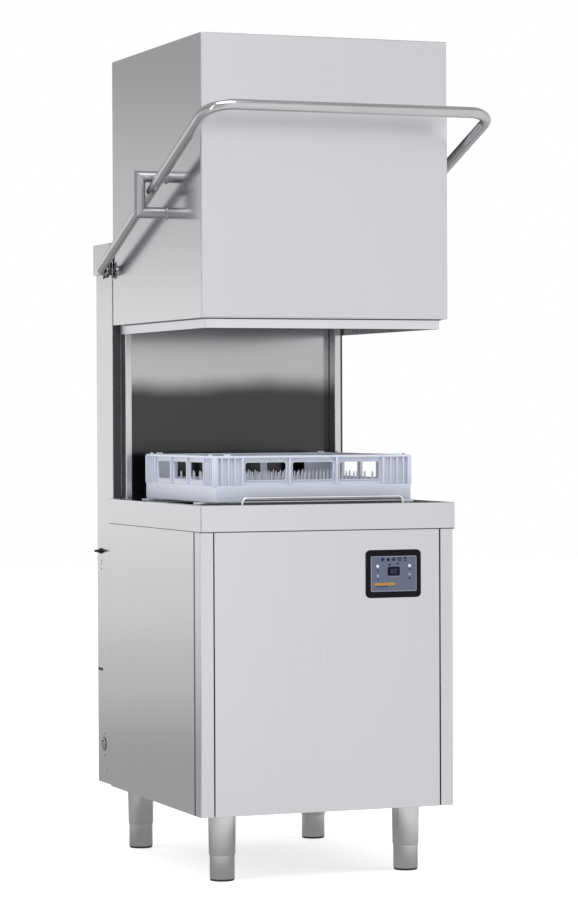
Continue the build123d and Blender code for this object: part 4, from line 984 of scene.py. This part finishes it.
def cut_windows(wall, cut_mesh):
    """Cut the windows out of the rack's wall, and shade what is left."""
    cutter = bpy.data.objects.new("window_cutter", cut_mesh)
    bpy.context.scene.collection.objects.link(cutter)
    cut = wall.modifiers.new("windows", "BOOLEAN")
    cut.operation = "DIFFERENCE"
    cut.solver = "EXACT"
    cut.object = cutter
    bpy.context.view_layer.update()
    carved = bpy.data.meshes.new_from_object(wall.evaluated_get(bpy.context.evaluated_depsgraph_get()))
    wall.modifiers.clear()
    wall.data = carved
    shade_smooth(carved, SHARP)
    bpy.data.objects.remove(cutter)


def rack_wall():
    """The set-back wall, with three framed windows on each side."""
    bm = bmesh.new()
    wall_ring(bm, [
        (WALL_OUTSIDE, BAND_TOP - 2), (WALL_OUTSIDE, RIM_TOP - 3),
        (WALL_INSIDE, RIM_TOP - 3), (WALL_INSIDE, BAND_TOP - 2),
    ])
    wall = plastic(bm, "rack_wall")
    cuts, frames = bmesh.new(), bmesh.new()
    for place in (-1, 0, 1):
        for direction in (FRONT, LEFT, REAR, RIGHT):
            out = Vector(direction)
            across = Vector((0, 0, 1)).cross(out) * place * WINDOW_PITCH
            window = Vector((RACK_X, RACK_Y, BASE + WINDOW_RISE)) + across + out * (RACK_HALF - WALL_OUTSIDE)
            seat = facing(direction, window)
            nest(cuts, [(WINDOW_WIDE, WINDOW_TALL, WINDOW_CORNER, depth) for depth in (-10, 10)], seat)
            nest(frames, [
                (WINDOW_WIDE + grown, WINDOW_TALL + grown, WINDOW_CORNER + grown / 2, depth)
                for grown, depth in ((-1, -2.6), (-1, 1.2), (0.2, 2.0), (3.0, 2.0), (4.2, 1.2), (4.2, -2.6))
            ], seat, join=True)
    cut_windows(wall, mesh_of(cuts))
    plastic(frames, "rack_window_frames")


def rack_ribs():
    """Upright ribs between the windows and close together at the corners."""
    ribs = [(pitches * WINDOW_PITCH, wide) for pitches, wide in WINDOW_RIBS]
    ribs += [(side * place, wide) for side in (-1, 1) for place, wide in CORNER_RIBS]
    bm = bmesh.new()
    for place, wide in ribs:
        for end in (-1, 1):
            along, through = (place - wide, place + wide), (end * (RACK_HALF - 9), end * (RACK_HALF - 0.5))
            block(bm, along, through, (BAND_TOP - 1, RIM_TOP - 4))
            block(bm, through, along, (BAND_TOP - 1, RIM_TOP - 4))
    round_edges(plastic(bm, "rack_ribs", FLAT_FACES), 0.5)


def rack_floor():
    """The floor grid, the pegs at its crossings, and the stacking lugs on the rim's corners."""
    grid, pegs = bmesh.new(), bmesh.new()
    reach = RACK_HALF - 3
    for line in GRID_LINES:
        along, through = (line * GRID_PITCH - 2, line * GRID_PITCH + 2), (-reach, reach)
        block(grid, along, through, (BASE, BASE + 6))
        block(grid, through, along, (BASE, BASE + 5.8))
    for column in PEG_LINES:
        for row in PEG_LINES:
            nest(pegs, PEG, spot(column * GRID_PITCH, row * GRID_PITCH, BASE), steps=3)
    for side in (-1, 1):
        for end in (-1, 1):
            for x, y, wide, deep in ((side * 213.5, end * 244, 17, 4), (side * 244, end * 213.5, 4, 17)):
                nest(pegs, [
                    (wide, deep, 1.8, RIM_TOP - 1), (wide, deep, 1.8, RIM_TOP + 2),
                    (wide - 1.4, deep - 1.4, 1.1, RIM_TOP + 3),
                ], spot(x, y), steps=3)
    round_edges(plastic(grid, "rack_floor_grid", FLAT_FACES), 0.6)
    plastic(pegs, "rack_pegs_and_lugs")


rack_frame()
rack_wall()
rack_ribs()
rack_floor()


# ---------------------------------------------------------------- studio
def sky():
    """Plain white to the camera, soft grey light to everything else."""
    world = bpy.data.worlds.new("studio")
    bpy.context.scene.world = world
    world.use_nodes = True
    tree = world.node_tree
    seen = tree.nodes["Background"]
    seen.inputs["Color"].default_value = (1, 1, 1, 1)
    lit = tree.nodes.new("ShaderNodeBackground")
    lit.inputs["Color"].default_value = (0.97, 0.98, 1, 1)
    lit.inputs["Strength"].default_value = 0.55
    path = tree.nodes.new("ShaderNodeLightPath")
    mix = tree.nodes.new("ShaderNodeMixShader")
    tree.links.new(path.outputs["Is Camera Ray"], mix.inputs["Fac"])
    tree.links.new(lit.outputs["Background"], mix.inputs[1])
    tree.links.new(seen.outputs["Background"], mix.inputs[2])
    tree.links.new(mix.outputs["Shader"], tree.nodes["World Output"].inputs["Surface"])


def stage_piece(name, bm, material, seen_by):
    """A floor or card of the studio, seen only by the kinds of ray named."""
    mesh = bpy.data.meshes.new(name)
    bm.to_mesh(mesh)
    bm.free()
    mesh.materials.append(material)
    card = bpy.data.objects.new(name, mesh)
    bpy.context.scene.collection.objects.link(card)
    for ray in ("camera", "diffuse", "glossy", "transmission", "shadow"):
        setattr(card, "visible_" + ray, ray in seen_by)


FLOOR_HALF = 14.0
FLOOR_GLOW = 0.62
TENT_R = 2.7
TENT_TOP = 3.4
TENT_LEVELS = (  # brightness by direction, in degrees: 0 along +X and 90 along +Y
    (-180, 0.85), (-150, 0.75), (-120, 0.8), (-95, 1.05), (-79, 1.1), (-71, 1.02), (-62, 0.98), (-30, 1.0),
    (0, 0.9), (30, 0.75), (45, 0.7), (57, 0.12), (78, 0.12), (92, 0.95), (110, 1.02), (125, 1.02),
    (150, 0.9), (180, 0.85),
)
TENT_BAND = (  # brightness by height in metres, where the band is felt
    (0.0, 0.46), (0.25, 0.68), (0.5, 0.86), (0.8, 0.98), (1.35, 0.96), (1.75, 0.68), (2.25, 0.46),
    (3.0, 0.5), (3.4, 0.6),
)
BAND_FELT = ((-180, 1), (-120, 0.7), (-95, 0.1), (-40, 0.0), (10, 0.3), (60, 1), (180, 1))


def shine(look, first, second):
    """Make a studio material give off light of the strength first times second, and no other."""
    level = look.node("ShaderNodeMath", operation="MULTIPLY")
    look.link(first, level.inputs[0])
    look.link(second, level.inputs[1])
    emission = look.node("ShaderNodeEmission")
    look.link(level.outputs["Value"], emission.inputs["Strength"])
    look.link(emission.outputs["Emission"], look.tree.nodes["Material Output"].inputs["Surface"])
    look.material.cycles.emission_sampling = "NONE"


def floor():
    """White floor, with a grey one in its place in the reflections."""
    for name, seen_by in (("floor", "camera diffuse shadow"), ("floor_in_reflections", "glossy")):
        bm = bmesh.new()
        bmesh.ops.create_grid(bm, x_segments=1, y_segments=1, size=FLOOR_HALF)
        look = Look(name, (0.8, 0.8, 0.8), 0.0, 0.9)
        if name == "floor":
            look.shader.inputs["Emission Color"].default_value = (1, 1, 1, 1)
            look.shader.inputs["Emission Strength"].default_value = FLOOR_GLOW
        else:
            place = look.node("ShaderNodeVectorMath", operation="DOT_PRODUCT")
            look.link(look.place.outputs["Object"], place.inputs[0])
            place.inputs[1].default_value = (0.36, -0.93, 0)  # brighter towards the front right
            far = look.node("ShaderNodeVectorMath", operation="LENGTH")
            look.link(look.place.outputs["Object"], far.inputs[0])
            forward = look.smooth(place.outputs["Value"], 0.46, 0.98, -1.4, 1.2)
            under = look.smooth(far.outputs["Value"], 0.5, 1.0, 0.3, 0.95)
            shine(look, forward, under)
        stage_piece(name, bm, look.material, seen_by.split())


def tent():
    """A round wall of light that the steel reflects: its brightness varies with direction and height."""
    bm = bmesh.new()
    bmesh.ops.create_cone(bm, segments=96, radius1=TENT_R, radius2=TENT_R, depth=TENT_TOP, cap_ends=False)
    bmesh.ops.translate(bm, verts=bm.verts, vec=(0, 0, TENT_TOP / 2))
    look = Look("tent", (0, 0, 0))
    xyz = look.node("ShaderNodeSeparateXYZ")
    look.link(look.place.outputs["Object"], xyz.inputs["Vector"])
    angle = look.node("ShaderNodeMath", operation="ARCTAN2")
    look.link(xyz.outputs["Y"], angle.inputs[0])
    look.link(xyz.outputs["X"], angle.inputs[1])
    turn = look.spread(angle.outputs["Value"], 0.0, 1.0, -pi, pi)
    height = look.spread(xyz.outputs["Z"], 0.0, 1.0, 0.0, TENT_TOP)

    def profile(value, stops):
        ramp = look.node("ShaderNodeValToRGB")
        ramp.color_ramp.interpolation = "EASE"
        while len(ramp.color_ramp.elements) < len(stops):
            ramp.color_ramp.elements.new(0.5)
        for element, (position, level) in zip(ramp.color_ramp.elements, stops):
            element.position = position
            element.color = (level, level, level, 1)
        look.link(value, ramp.inputs["Fac"])
        return ramp.outputs["Color"]

    def around(stops):
        return profile(turn, [((degrees + 180) / 360, level) for degrees, level in stops])

    levels = around(TENT_LEVELS)
    felt = around(BAND_FELT)
    band = profile(height, [(z / TENT_TOP, level) for z, level in TENT_BAND])
    mix = look.node("ShaderNodeMix", data_type="FLOAT")
    look.link(felt, mix.inputs[0])
    mix.inputs[2].default_value = 1.0
    look.link(band, mix.inputs[3])
    shine(look, levels, mix.outputs[0])
    stage_piece("tent", bm, look.material, ("glossy",))


def softbox(name, place, target, size, watts, glossy=True):
    """A large soft lamp at a place, turned to a target."""
    lamp = bpy.data.lights.new(name, "AREA")
    lamp.shape = "RECTANGLE"
    lamp.size, lamp.size_y = size
    lamp.energy = watts
    box = bpy.data.objects.new(name, lamp)
    box.location = place
    box.rotation_euler = (Vector(target) - Vector(place)).to_track_quat("-Z", "Y").to_euler()
    box.visible_glossy = glossy
    bpy.context.scene.collection.objects.link(box)


def lamps():
    softbox("overhead", (-0.8, -1.8, 3.6), (0, 0, 1.0), (2.6, 2.0), 60)
    softbox("left_strip", (-2.1, -1.35, 1.5), (0, 0, 1.2), (0.22, 2.4), 5)
    softbox("right_fill", (3.2, -1.6, 2.2), (0, 0, 1.0), (2.0, 2.4), 40, glossy=False)
    softbox("left_fill", (-3.4, -0.4, 2.4), (0, 0, 1.0), (2.0, 2.4), 35, glossy=False)
    softbox("back_fill", (0.6, 3.4, 2.8), (0, 0, 1.0), (2.4, 2.0), 35, glossy=False)


# ---------------------------------------------------------------- camera
CAMERA_PLACE = (-2.6737, -7.0145, 1.0807)
YAW, PITCH, ROLL = radians(21.036), radians(-0.867), radians(-0.225)
FOCAL_MM = 121.8


def camera():
    """The camera stands left of the front, at working height."""
    forward = Vector((sin(YAW) * cos(PITCH), cos(YAW) * cos(PITCH), sin(PITCH)))
    right = Vector((cos(YAW), -sin(YAW), 0))
    up = right.cross(forward)
    rolled_right = right * cos(ROLL) + up * sin(ROLL)
    rolled_up = up * cos(ROLL) - right * sin(ROLL)
    lens = bpy.data.cameras.new("camera")
    lens.lens = FOCAL_MM
    lens.sensor_width = 36.0
    lens.clip_end = 60.0
    view = bpy.data.objects.new("camera", lens)
    turn = Matrix((rolled_right, rolled_up, -forward)).transposed().to_4x4()
    view.matrix_world = Matrix.Translation(CAMERA_PLACE) @ turn
    bpy.context.scene.collection.objects.link(view)
    bpy.context.scene.camera = view


camera()
sky()
floor()
tent()
lamps()
bpy.context.scene.view_settings.view_transform = "Standard"
